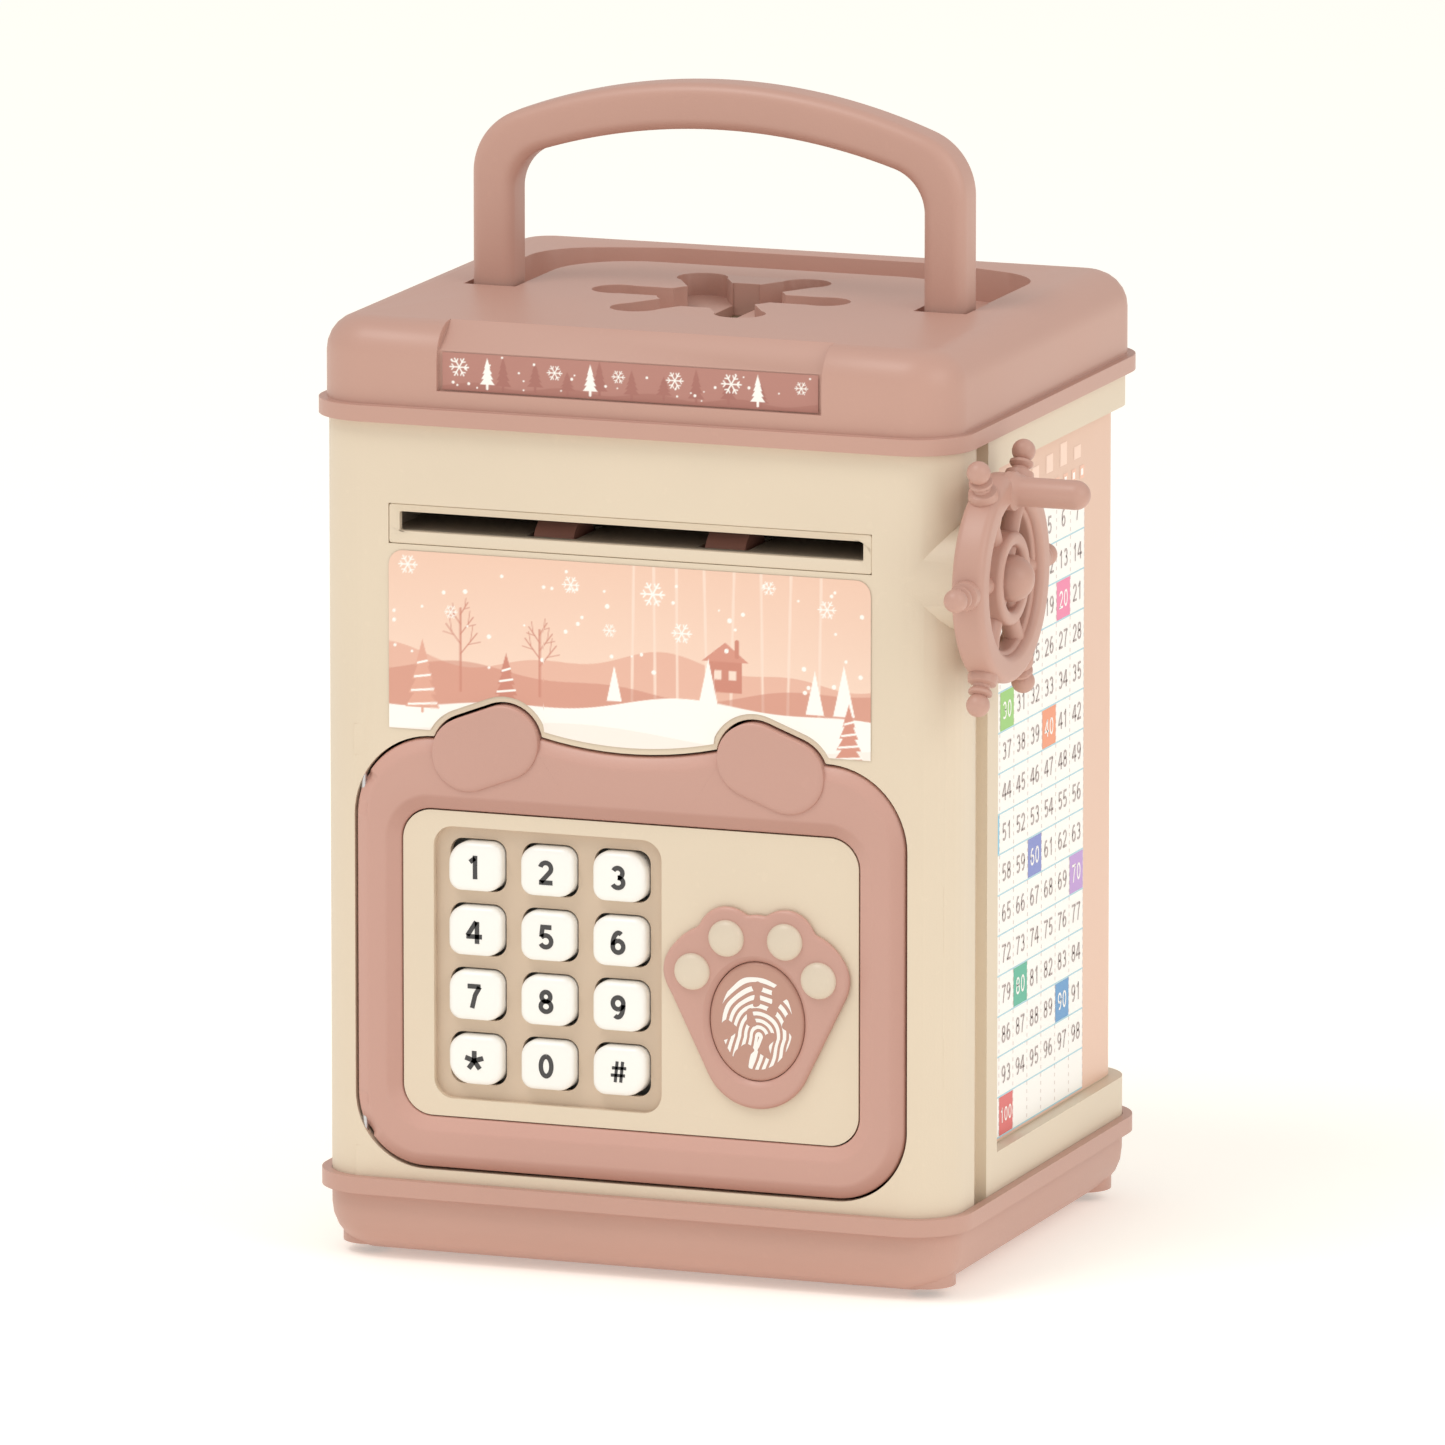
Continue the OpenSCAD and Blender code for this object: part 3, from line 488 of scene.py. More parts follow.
def moulded(name, colour, roughness=0.42, grain=0.00002, coat=0.0):
    """Moulded plastic: a faint cloudy tone, satin grain, a wandering gloss, and a painted highlight and
    painted shade from the edge attribute.
    """
    recipe = Recipe(name, Coat_Weight=coat, Coat_Roughness=0.25)
    cloud = recipe.noise(28, 3)
    fleck = recipe.noise(420, 2)
    tone = recipe.mix(cloud, tint(colour, 0.955), tint(colour, 1.045))
    tone = recipe.mix(fleck.over(0.7) * 0.05, tone, tint(colour, 1.3))
    # Painted light: the edge attribute's positive share lightens the colour as a painted highlight, its
    # negative share darkens it as painted shade.
    edge = recipe.add("ShaderNodeAttribute", {"attribute_name": "edge"}, out=2)
    tone = recipe.mix(edge.sum("MAXIMUM", edge, 0) * 0.3, tone, tint(colour, 1.45))
    # the painted shade's colour
    dark = (colour[0] * 0.74, colour[1] * 0.62, colour[2] * 0.58, 1.0)
    tone = recipe.mix(edge.sum("MAXIMUM", edge * -1, 0) * 0.75, tone, dark)
    recipe.bump(recipe.noise(2600, 1) + recipe.noise(160, 2) * 0.6, grain)
    return recipe.done(tone, cloud * 0.14 + (roughness - 0.07))


def printed(name):
    """A printed film: the ink attribute's colour under a soft gloss, with a faint paper tooth."""
    recipe = Recipe(name, Coat_Weight=0.15, Coat_Roughness=0.3)
    ink = recipe.add("ShaderNodeAttribute", {"attribute_name": "ink"})
    recipe.bump(recipe.noise(1800, 2), 0.000008)
    return recipe.done(ink, recipe.noise(60, 2) * 0.1 + 0.38)


def print_sheet(name, colour):
    """The chart's own sheet: a peach film that is a little lighter towards the bottom."""
    recipe = Recipe(name, Coat_Weight=0.15, Coat_Roughness=0.3)
    height = recipe.add("ShaderNodeSeparateXYZ", {}, {"Vector": recipe.place()}, out=2)
    share = height / 0.16
    tone = recipe.mix(share, tint(colour, 1.06), tint(colour, 0.97))
    recipe.bump(recipe.noise(1800, 2), 0.000008)
    return recipe.done(tone, recipe.noise(60, 2) * 0.1 + 0.38)


def finger_print(name, colour, ridge):
    """The print: ridges are bands of the distance from a low core, bent by waves, inside an oval."""
    recipe = Recipe(name, Coat_Weight=0.1)
    place = recipe.place()
    x = recipe.add("ShaderNodeSeparateXYZ", {}, {"Vector": place}, out=0) / MM - PRINT_X
    z = recipe.add("ShaderNodeSeparateXYZ", {}, {"Vector": place}, out=2) / MM - PRINT_Z
    wave = recipe.noise(110, 1) * 2.6
    low = (z + 3.0).sum("MINIMUM", z + 3.0, 0)
    high = (z + 3.0).sum("MAXIMUM", z + 3.0, 0) * 0.8
    lean = x - low * 0.28 - 0.4
    core = (lean * lean + high * high).sum("SQRT", lean * lean + high * high)
    band = (core + wave) * 4.9
    line = band.sum("SINE", band).over(-0.2)
    broken = recipe.noise(310, 0).under(0.64)
    inside = (x * x / 7.4**2 + z * z / 9.4**2).under(1.0)
    mask = line * broken * inside
    recipe.bump(mask + recipe.noise(2400, 1) * 0.08, 0.0002)
    return recipe.done(recipe.mix(mask, tint(colour), tint(ridge)), mask * -0.1 + 0.45)


def metal(name, colour, roughness=0.32):
    """Plated steel: fine scratches along X and a cloudy sheen."""
    recipe = Recipe(name, Metallic=1.0)
    stretch = recipe.add("ShaderNodeMapping", {}, {"Vector": recipe.place(), "Scale": (60, 900, 900)})
    scratch = recipe.noise(3.0, 3, stretch)
    recipe.bump(scratch, 0.00002)
    tone = recipe.mix(scratch, tint(colour, 0.88), tint(colour, 1.06))
    return recipe.done(tone, scratch * 0.2 + roughness - 0.1)


def rubber(name, colour):
    """Soft rubber: matt, with a dusty tone."""
    recipe = Recipe(name)
    dust = recipe.noise(220, 4)
    recipe.bump(dust, 0.00006)
    return recipe.done(recipe.mix(dust, tint(colour, 0.85), tint(colour, 1.2)), dust * 0.15 + 0.7)


def board(name, colour):
    """A circuit board: solder mask with brighter traces where two bands meet."""
    recipe = Recipe(name, Coat_Weight=0.4)
    place = recipe.place()
    x = recipe.add("ShaderNodeSeparateXYZ", {}, {"Vector": place}, out=0) * 900
    z = recipe.add("ShaderNodeSeparateXYZ", {}, {"Vector": place}, out=2) * 1100
    wide = recipe.noise(90, 0)
    trace = (x.sum("SINE", x + wide * 9)).over(0.8) * (z.sum("SINE", z)).over(-0.4)
    recipe.bump(trace, 0.00004)
    return recipe.done(recipe.mix(trace, tint(colour), tint(colour, 2.6)), 0.35)


def winding(name, colour):
    """Copper wire laid in turns: thin bands along Z."""
    recipe = Recipe(name, Metallic=0.8)
    height = recipe.add("ShaderNodeSeparateXYZ", {}, {"Vector": recipe.place()}, out=2) * 12000
    turn = height.sum("SINE", height) * 0.5 + 0.5
    recipe.bump(turn, 0.0002)
    return recipe.done(recipe.mix(turn, tint(colour, 0.5), tint(colour, 1.1)), 0.35)


# ---------- what a user would change ----------


def colour_value(label, text, red, green, blue):
    return FloatVectorProperty(
        name=label, description=text, subtype="COLOR", size=3, min=0, max=1, default=(red, green, blue)
    )


def length_value(label, text, default):
    return FloatProperty(
        name=label, description=text, unit="LENGTH", default=default * MM, min=0, precision=5
    )


def number_value(label, text, default):
    return FloatProperty(name=label, description=text, default=default)


class BankColours(bpy.types.PropertyGroup):
    pink: colour_value("Pink", "Dusty pink plastic of the lid, base, door and handle", 0.55, 0.322, 0.262)
    ear: colour_value("Ears and frame", "Pink plastic of the door's frame and ears", 0.565, 0.325, 0.27)
    cream: colour_value("Cream", "Cream plastic of the shells and the door's panel", 0.745, 0.63, 0.49)
    toe: colour_value("Toes", "Plastic of the four toe caps", 0.70, 0.60, 0.48)
    pad: colour_value("Print pad", "Plastic of the fingerprint pad", 0.50, 0.275, 0.215)
    key: colour_value("Keys", "White plastic of the key caps", 0.93, 0.92, 0.885)
    digit: colour_value("Digits", "Ink of the digits on the keys", 0.055, 0.053, 0.055)
    film: colour_value("Film", "Peach film of the savings chart", 0.78, 0.52, 0.40)
    roller: colour_value("Rollers", "Plastic of the note rollers", 0.38, 0.17, 0.13)


class BankSizes(bpy.types.PropertyGroup):
    shell_edge: length_value("Shell edge", "Roundness of the shells' openings", 0.35)
    lid_edge: length_value("Lid edge", "Roundness of the lid's channel, dish and slot", 0.8)
    base_edge: length_value("Base edge", "Roundness of the base's lip", 0.7)
    handle_edge: length_value("Handle edge", "Roundness of the handle's bar", 2.4)
    key_crown: length_value("Key crown", "How far a key's middle stands above its edge", 0.1)


class BankStage(bpy.types.PropertyGroup):
    azimuth: number_value("Azimuth", "Camera's turn to the right, in degrees", 20.24)
    elevation: number_value("Elevation", "Camera's height above level, in degrees", 10.97)
    distance: length_value("Distance", "From the camera to its target", 3490.3)
    lens: number_value("Lens", "Focal length in millimetres", 444.6)
    daylight: number_value("Daylight", "Strength of the even light all round", 0.67)
    lamp: number_value("Lamp", "Power of the large soft lamp in watts", 14.0)


# ---------- operators, one for each piece or group of like pieces ----------


class BankOperator:
    """What the operators share: sizes, colours and the finishes made once."""

    bl_options = {"REGISTER", "UNDO"}
    shelf = {}

    @property
    def sizes(self):
        return bpy.context.scene.bank_sizes

    @property
    def colours(self):
        return bpy.context.scene.bank_colours

    def finish(self, name):
        """The named finish, made the first time that it is asked for."""
        colours = self.colours
        recipes = {
            "pink plastic": lambda n: moulded(n, colours.pink),
            "door pink plastic": lambda n: moulded(n, colours.ear, 0.4),
            "cream plastic": lambda n: moulded(n, colours.cream, 0.46),
            "toe plastic": lambda n: moulded(n, colours.toe, 0.38),
            "pad plastic": lambda n: finger_print(n, colours.pad, (0.93, 0.9, 0.86)),
            "key plastic": lambda n: moulded(n, colours.key, 0.3, 0.000008, 0.3),
            "digit ink": lambda n: moulded(n, colours.digit, 0.5),
            "chart film": lambda n: print_sheet(n, colours.film),
            "printed ink": printed,
            "roller plastic": lambda n: moulded(n, colours.roller, 0.5),
            "dark plastic": lambda n: moulded(n, (0.03, 0.03, 0.032), 0.5),
            "guide plastic": lambda n: moulded(n, (0.36, 0.30, 0.24), 0.6),
            "steel": lambda n: metal(n, (0.62, 0.62, 0.64)),
            "pressure rubber": lambda n: rubber(n, (0.12, 0.11, 0.11)),
            "foot rubber": lambda n: rubber(n, (0.46, 0.27, 0.22)),
            "mat rubber": lambda n: rubber(n, (0.35, 0.34, 0.32)),
            "green board": lambda n: board(n, (0.015, 0.11, 0.04)),
            "copper winding": lambda n: winding(n, (0.62, 0.28, 0.1)),
            "cell jacket": lambda n: moulded(n, (0.05, 0.12, 0.08), 0.3, coat=0.5),
        }
        if name not in self.shelf:
            self.shelf[name] = recipes[name](name)
        return self.shelf[name]


class BANK_OT_base(BankOperator, bpy.types.Operator):
    """Base with its rounded lip, its cover and its four feet"""

    bl_idname = "bank.base"
    bl_label = "Base and feet"

    def execute(self, context):
        edge = self.sizes.base_edge / MM
        softened("base_tray", edge, self.finish("pink plastic"), "case")
        softened("battery_cover", 0.25, self.finish("pink plastic"), "case")
        low, high = box_mm("feet")
        feet = Build()
        radius = 6.0
        for x in (low[0] + radius, high[0] - radius):
            for y in (low[1] + radius, high[1] - radius):
                angle = np.radians(np.linspace(0, 90, 6))
                rim = np.stack([radius - 0.6 + 0.6 * np.sin(angle), 0.6 - 0.6 * np.cos(angle)], 1)
                profile = [(0, 0), *rim.tolist(), (radius, high[2]), (0, high[2])]
                feet.add(turned(profile, (x, y, low[2]), (0, 0, 1)))
        feet.piece("rubber_feet", self.finish("foot rubber"), "case", "foot_rubber", ["feet"])
        return {"FINISHED"}


class BANK_OT_shells(BankOperator, bpy.types.Operator):
    """Front and back shells, with the frame round the note slot"""

    bl_idname = "bank.shells"
    bl_label = "Shells and slot frame"

    def execute(self, context):
        edge, cream = self.sizes.shell_edge / MM, self.finish("cream plastic")
        softened("front_shell", edge, cream, "case")
        softened("back_shell", edge, cream, "case")
        slot_w, slot_h, slot_z = 95.2, 3.85, 146.825
        count = 400
        rim = 1.95
        outer = resample(rounded_rect(slot_w / 2 + rim, slot_h / 2 + rim, 0.5, 0, slot_z - 0.4), count)
        inner = resample(rounded_rect(slot_w / 2 + 0.02, slot_h / 2 + 0.02, 0.4, 0, slot_z), count)
        front = FRONT_Y
        grid = ring_points(
            outer,
            inner,
            [(0, front + 0.8), (0, front + 0.35), *rounded_edge(0.25, front + 0.35, front + 0.1, 4)],
            [(0.25, front + 0.72), (0, front + 0.95), (0, front + 2.1), (0.2, front + 2.1),
             (0.2, front + 0.8)],
        )
        Build().add(grid, wrap_rows=True).piece("slot_frame", cream, "case", "cream_plastic", smooth=25)
        return {"FINISHED"}


class BANK_OT_lid(BankOperator, bpy.types.Operator):
    """Lid with its channel, six-armed coin dish and sunk place for the plate"""

    bl_idname = "bank.lid"
    bl_label = "Lid"

    def execute(self, context):
        edge = self.sizes.lid_edge / MM
        softened("top_lid", edge, self.finish("pink plastic"), "case", segments=4)
        return {"FINISHED"}


class BANK_OT_handle(BankOperator, bpy.types.Operator):
    """Arched carry handle with soft edges"""

    bl_idname = "bank.handle"
    bl_label = "Carry handle"

    def arch(self, half, bend, top, foot):
        """Leg, bend, wide arch, bend, leg: arcs that meet on their common tangents."""
        arch_r = 119.0
        arch_z = top - arch_r
        bend_x = half - bend
        bend_z = arch_z + np.sqrt((arch_r - bend) ** 2 - bend_x**2)
        lean = np.degrees(np.arctan2(bend_z - arch_z, bend_x))
        leg = np.stack([np.full(14, -half), np.linspace(foot, bend_z, 14)], 1)[:-1]
        left = arc(-bend_x, bend_z, bend, 180, 180 - lean, 18)[:-1]
        over = arc(0, arch_z, arch_r, 180 - lean, lean, 61)
        return np.concatenate([leg, left, over, left[::-1] * [-1, 1], leg[::-1] * [-1, 1]])

    def execute(self, context):
        half, bar = HANDLE_HIGH[0], 8.6
        outer = self.arch(half, 13.0, HANDLE_HIGH[2], HANDLE_LOW[2])
        inner = self.arch(half - bar, 9.0, HANDLE_HIGH[2] - 9.2, HANDLE_LOW[2])
        depth = (HANDLE_HIGH[1] - HANDLE_LOW[1]) / 2
        section = rounded_rect(bar / 2, depth, self.sizes.handle_edge / MM, count=7)
        middle, across = (outer + inner) / 2, (inner - outer) / bar
        y = (HANDLE_HIGH[1] + HANDLE_LOW[1]) / 2 + section[:, 1]
        rows = []
        for shrink in (0.0, 0.86, 1.0):
            rows.append((middle[:1], across[:1] * shrink, shrink, 0.0 if shrink < 1 else 0.5))
        rows.append((middle[1:-1], across[1:-1], 1.0, 0.0))
        for shrink in (1.0, 0.86, 0.0):
            rows.append((middle[-1:], across[-1:] * shrink, shrink, 0.0 if shrink < 1 else 0.5))
        grid = []
        for centre, side, shrink, lift in rows:
            flat = centre[:, None, :] + side[:, None, :] * section[None, :, :1]
            depth_row = np.broadcast_to(y.mean() + (y - y.mean()) * shrink, flat.shape[:2])
            grid.append(np.stack([flat[..., 0], depth_row, flat[..., 1] + lift], -1))
        shape = Build().add(np.concatenate(grid))
        shape.piece("carry_handle", self.finish("pink plastic"), "carry_handle", "pink_plastic", ["handle"])
        return {"FINISHED"}


class BANK_OT_wheel(BankOperator, bpy.types.Operator):
    """Ship's wheel: rims, hub, six turned handles and the crank peg"""

    bl_idname = "bank.wheel"
    bl_label = "Ship's wheel"

    def hoop(self, r_out, r_in, x0, x1, edge):
        """A rounded square section carried round the axle."""
        section = rounded_rect((r_out - r_in) / 2, (x1 - x0) / 2, edge, (r_out + r_in) / 2, (x0 + x1) / 2, 6)
        angle = np.linspace(0, TURN, 120, endpoint=False)[:, None]
        y = AXLE_Y + section[:, 0] * np.cos(angle)
        z = AXLE_Z + section[:, 0] * np.sin(angle)
        return np.stack([np.broadcast_to(section[:, 1], y.shape), y, z], -1)

    def execute(self, context):
        x0, x1 = WHEEL_LOW[0] + 0.7, WHEEL_LOW[0] + 7.2
        middle = (x0 + x1) / 2
        wheel = Build()
        wheel.add(self.hoop(20.2, 14.8, x0, x1, 1.5), wrap_rows=True)
        wheel.add(self.hoop(15.6, 13.9, x0 + 1.4, x1 - 1.4, 0.8), wrap_rows=True)
        wheel.add(self.hoop(9.1, 6.3, x0 + 0.6, x1 - 0.2, 1.0), wrap_rows=True)
        angle = np.radians(np.linspace(0, 90, 9))
        dome = np.stack([4.6 * np.cos(angle), x1 - 1.2 - WHEEL_LOW[0] + 4.6 * np.sin(angle)], 1)
        hub = [(0, 0), (4.3, 0), (4.6, 0.4), (4.6, 5.9), *dome.tolist()]
        wheel.add(turned(hub, (WHEEL_LOW[0], AXLE_Y, AXLE_Z), (1, 0, 0), 48))
        ball = np.radians(np.linspace(-52, 90, 12))
        spindle = [(0, 2), (1.95, 2), (1.85, 12), (2.2, 16)]
        spindle += [(2.2, 19.0), (2.75, 19.3), (3.0, 20.4), (2.75, 21.6)]
        spindle += [(1.75, 22.0), (1.6, 22.5), (2.1, 22.9), (2.35, 23.3), (2.3, 23.8), (1.6, 24.1)]
        spindle += np.stack([2.3 * np.cos(ball), 26.0 + 2.3 * np.sin(ball)], 1).tolist()
        for step in range(6):
            lean = TURN * (step + 0.5) / 6
            wheel.add(turned(spindle, (middle, AXLE_Y, AXLE_Z), (0, np.sin(lean), np.cos(lean)), 28))
        peg_r, peg_end = 2.85, WHEEL_HIGH[0]
        tip = np.radians(np.linspace(0, 90, 9))
        peg = [(0, 0), (peg_r + 0.9, 0), (peg_r + 0.9, 1.7), (peg_r + 0.35, 2.3), (peg_r, 3.2)]
        reach = peg_end - peg_r - (x1 - 2)
        peg += np.stack([peg_r * np.cos(tip), reach + peg_r * np.sin(tip)], 1).tolist()
        wheel.add(turned(peg, (x1 - 2, AXLE_Y, AXLE_Z + 17), (1, 0, 0), 36))
        wheel.piece("ship_wheel_turned", self.finish("pink plastic"), "crank", "pink_plastic", ["ship_wheel"])
        return {"FINISHED"}


class BANK_OT_door_frame(BankOperator, bpy.types.Operator):
    """Door frame with a soft outer edge and a bevel round the panel, and its two ears"""

    bl_idname = "bank.door_frame"
    bl_label = "Door frame and ears"

    def relief(self, grid):
        """Keeps the left corners' front behind the shell's edge as it turns about the hinge."""
        x, y, z = grid[..., 0], grid[..., 1], grid[..., 2]
        ramp, deep = 1.5, 8.3
        for middle, radius, up in ((88.6, 16.0, 1), (33.8, 14.0, -1)):
            rise = (z - middle) * up
            edge = -DOOR_HALF + radius - np.sqrt(radius**2 - np.clip(rise, 0, deep) ** 2)
            away = np.maximum(0, x - HINGE_X - 1.1) + np.maximum(0, rise - deep) + np.maximum(0, -rise)
            y[...] = np.maximum(y, HINGE_Y + edge - HINGE_X - 0.3 - ramp * away)
        return grid

    def execute(self, context):
        pink = self.finish("door pink plastic")
        centre = np.array([0.0, 60.3])
        outline = resample(door_outline(), 640)
        angles = np.arctan2(outline[:, 1] - centre[1], outline[:, 0] - centre[0])
        half, mid_z = PANEL_HIGH[0], (PANEL_LOW[2] + PANEL_HIGH[2]) / 2
        opening = rounded_rect(half + 0.25, (PANEL_HIGH[2] - PANEL_LOW[2]) / 2 + 0.25, 6.2, 0, mid_z, 24)
        inner = by_angle(opening, centre, angles)
        back, front = DOOR_HIGH[1], DOOR_LOW[1]
        grid = ring_points(
            outline,
            inner,
            [(0, back), (0, front + 1.7), (0.12, front + 1.3), (0.45, front + 0.95), (2.2, front + 0.2),
             (2.6, front + 0.05), (3.1, front)],
            [(3.2, front), (2.8, front + 0.05), (2.45, front + 0.2), (0.55, front + 1.05),
             (0.15, front + 1.25), (0, front + 1.6), (0, back)],
        )
        # Painted highlight on the frame's upward bevels and painted shade on its downward ones, through the
        # edge attribute.
        edge_tone(Build().add(self.relief(grid), wrap_rows=True).piece(
            "bear_frame", pink, "door", "pink_plastic", ["door_frame"], smooth=28
        ), 1.6)
        ear_front = box_mm("door_ears")[0][1]
        ears = Build()
        for side in (-1, 1):
            section = [(0, back), (0, front - 0.2), *rounded_edge(1.5, front - 0.2, ear_front + 0.15)]
            ears.add(pad_points(ear_outline(side), section, 0.15))
        # Painted highlight and painted shade on the ears' bevels, through the edge attribute.
        edge_tone(ears.piece("bear_ears", pink, "door", "pink_plastic", ["door_ears"], smooth=50))
        return {"FINISHED"}


class BANK_OT_door_panel(BankOperator, bpy.types.Operator):
    """Cream door panel with its sunk keypad, and the cover behind it"""

    bl_idname = "bank.door_panel"
    bl_label = "Door panel"

    def execute(self, context):
        cream = self.finish("cream plastic")
        panel = softened("door_panel", 0.5, cream, "door", segments=4)
        # Painted shade on the keypad's sunk floor and everything else behind the panel's front.
        edge_tone(panel, low_y=PANEL_LOW[1] + 1.2)
        softened("door_back", 0.5, cream, "door")
        return {"FINISHED"}


class BANK_OT_keys(BankOperator, bpy.types.Operator):
    """Twelve soft key caps with their digits"""

    bl_idname = "bank.keys"
    bl_label = "Keys"

    def execute(self, context):
        white, ink = self.finish("key plastic"), self.finish("digit ink")
        for index, (node, sign) in enumerate(KEYS.items()):
            low, high = box_mm(node)
            column, row = index % 3, index // 3
            half_w, half_h = (high[0] - low[0]) / 2 - 0.7, (high[2] - low[2]) / 2 - 0.7
            x, z = (low[0] + high[0]) / 2, (low[2] + high[2]) / 2
            round_at = {(0, 0): 2, (2, 0): 1, (0, 3): 3, (2, 3): 0}.get((column, row))
            radii = [4.4 if corner == round_at else (3.3, 2.5)[corner % 2] for corner in range(4)]
            outline = resample(rounded_rect(half_w, half_h, radii, x, z), 88)
            crown = self.sizes.key_crown / MM
            section = [(0, high[1]), (0, low[1] + 1.3), *rounded_edge(1.3, low[1] + 1.3, low[1] + crown, 8)]
            shape = Build().add(pad_points(outline, section, crown))
            shape.piece(node + "_cap", white, node + "_cap", "key_plastic", [node], smooth=60)
            digit = Build()
            tall, bold = {"#": (4.9, 0.125), "*": (5.4, 0.18)}.get(sign, (4.6, 0.2))
            for line in SIGNS[sign]:
                edges = ribbon(line, bold) * tall + [x, z]
                front, back = (np.insert(edges, 1, low[1] + lift, 2) for lift in (-0.04, 0.1))
                loop = np.concatenate([front, back[:, ::-1]], 1)
                start, end = (np.repeat(row.mean(1, keepdims=True), 4, 1) for row in (loop[:1], loop[-1:]))
                digit.add(np.concatenate([start, loop, end]))
            digit.piece(node + "_digit", ink, node + "_cap", "key_plastic")
        return {"FINISHED"}


class BANK_OT_paw(BankOperator, bpy.types.Operator):
    """Paw plate, four toe caps and the print pad"""

    bl_idname = "bank.paw"
    bl_label = "Paw and print pad"

    def execute(self, context):
        low, high = box_mm("paw_plate")
        centre = np.array([PRINT_X, PRINT_Z])
        angles = np.linspace(-np.pi, np.pi, 540, endpoint=False)
        pad_a, pad_b = (PRINT_HIGH[0] - PRINT_LOW[0]) / 2 - 1, (PRINT_HIGH[2] - PRINT_LOW[2]) / 2 - 1
        outer = paw_outline(centre, angles)
        inner = by_angle(ellipse(PRINT_X, PRINT_Z, pad_a + 0.1, pad_b + 0.1, count=400), centre, angles)
        grid = ring_points(
            outer,
            inner,
            [(0.3, high[1] - 0.05), (0.3, high[1] - 0.5), (0, high[1] - 0.55), (0, low[1] + 0.8),
             *rounded_edge(1.1, low[1] + 0.8, low[1])],
            [(1.3, low[1]), (1.1, low[1] + 0.05), (0.2, low[1] + 0.7), (0, low[1] + 0.9),
             (0, high[1] - 0.05)],
        )
        # Painted highlight on the paw's upward bevels and painted shade on its downward ones, through the
        # edge attribute.
        edge_tone(Build().add(grid, wrap_rows=True).piece(
            "paw_pad", self.finish("door pink plastic"), "door", "pink_plastic", ["paw_plate"], smooth=40
        ))
        tip, root = box_mm("toe_caps")[0][1], low[1] + 0.8
        toe_r, drop = 3.62, 1.6
        angle = np.radians(np.linspace(0, 90, 14))
        dome = np.stack([toe_r * np.cos(angle) ** 0.8, root - tip - drop + drop * np.sin(angle)], 1)
        toes = Build()
        for x, z in TOES:
            toes.add(turned([(0, 0), (toe_r, 0), *dome.tolist()[1:]], (x, root, z), (0, -1, 0), 48))
        toe_finish = self.finish("toe plastic")
        toes.piece("toe_buttons", toe_finish, "door", "cream_plastic", ["toe_caps"], smooth=60)
        oval = ellipse(PRINT_X, PRINT_Z, pad_a, pad_b, count=160)
        face = PRINT_LOW[1]
        section = [(0, PRINT_HIGH[1]), (0, face + 0.7), *rounded_edge(0.9, face + 0.7, face)]
        Build().add(pad_points(oval, section)).piece(
            "print_pad", self.finish("pad plastic"), "print_button", "print_pad", ["fingerprint_button"]
        )
        return {"FINISHED"}


# ---------- prints ----------


def srgb(red, green, blue):
    """A display colour of 0 to 255 as linear light."""
    value = np.array([red, green, blue]) / 255.0
    return np.where(value < 0.04045, value / 12.92, ((value + 0.055) / 1.055) ** 2.4)


def inked(name, points, faces, ink, finish, body, replaces=()):
    """A printed sheet: its colours are an attribute of its points."""
    made = piece(name, points, faces, finish, body, "printed_sheet", replaces, recalc=False)
    colours = np.insert(np.asarray(ink, float).reshape(-1, 3), 3, 1.0, 1)
    layer = made.data.attributes.new("ink", "FLOAT_COLOR", "POINT")
    layer.data.foreach_set("color", colours.astype(np.float32).ravel())
    return made


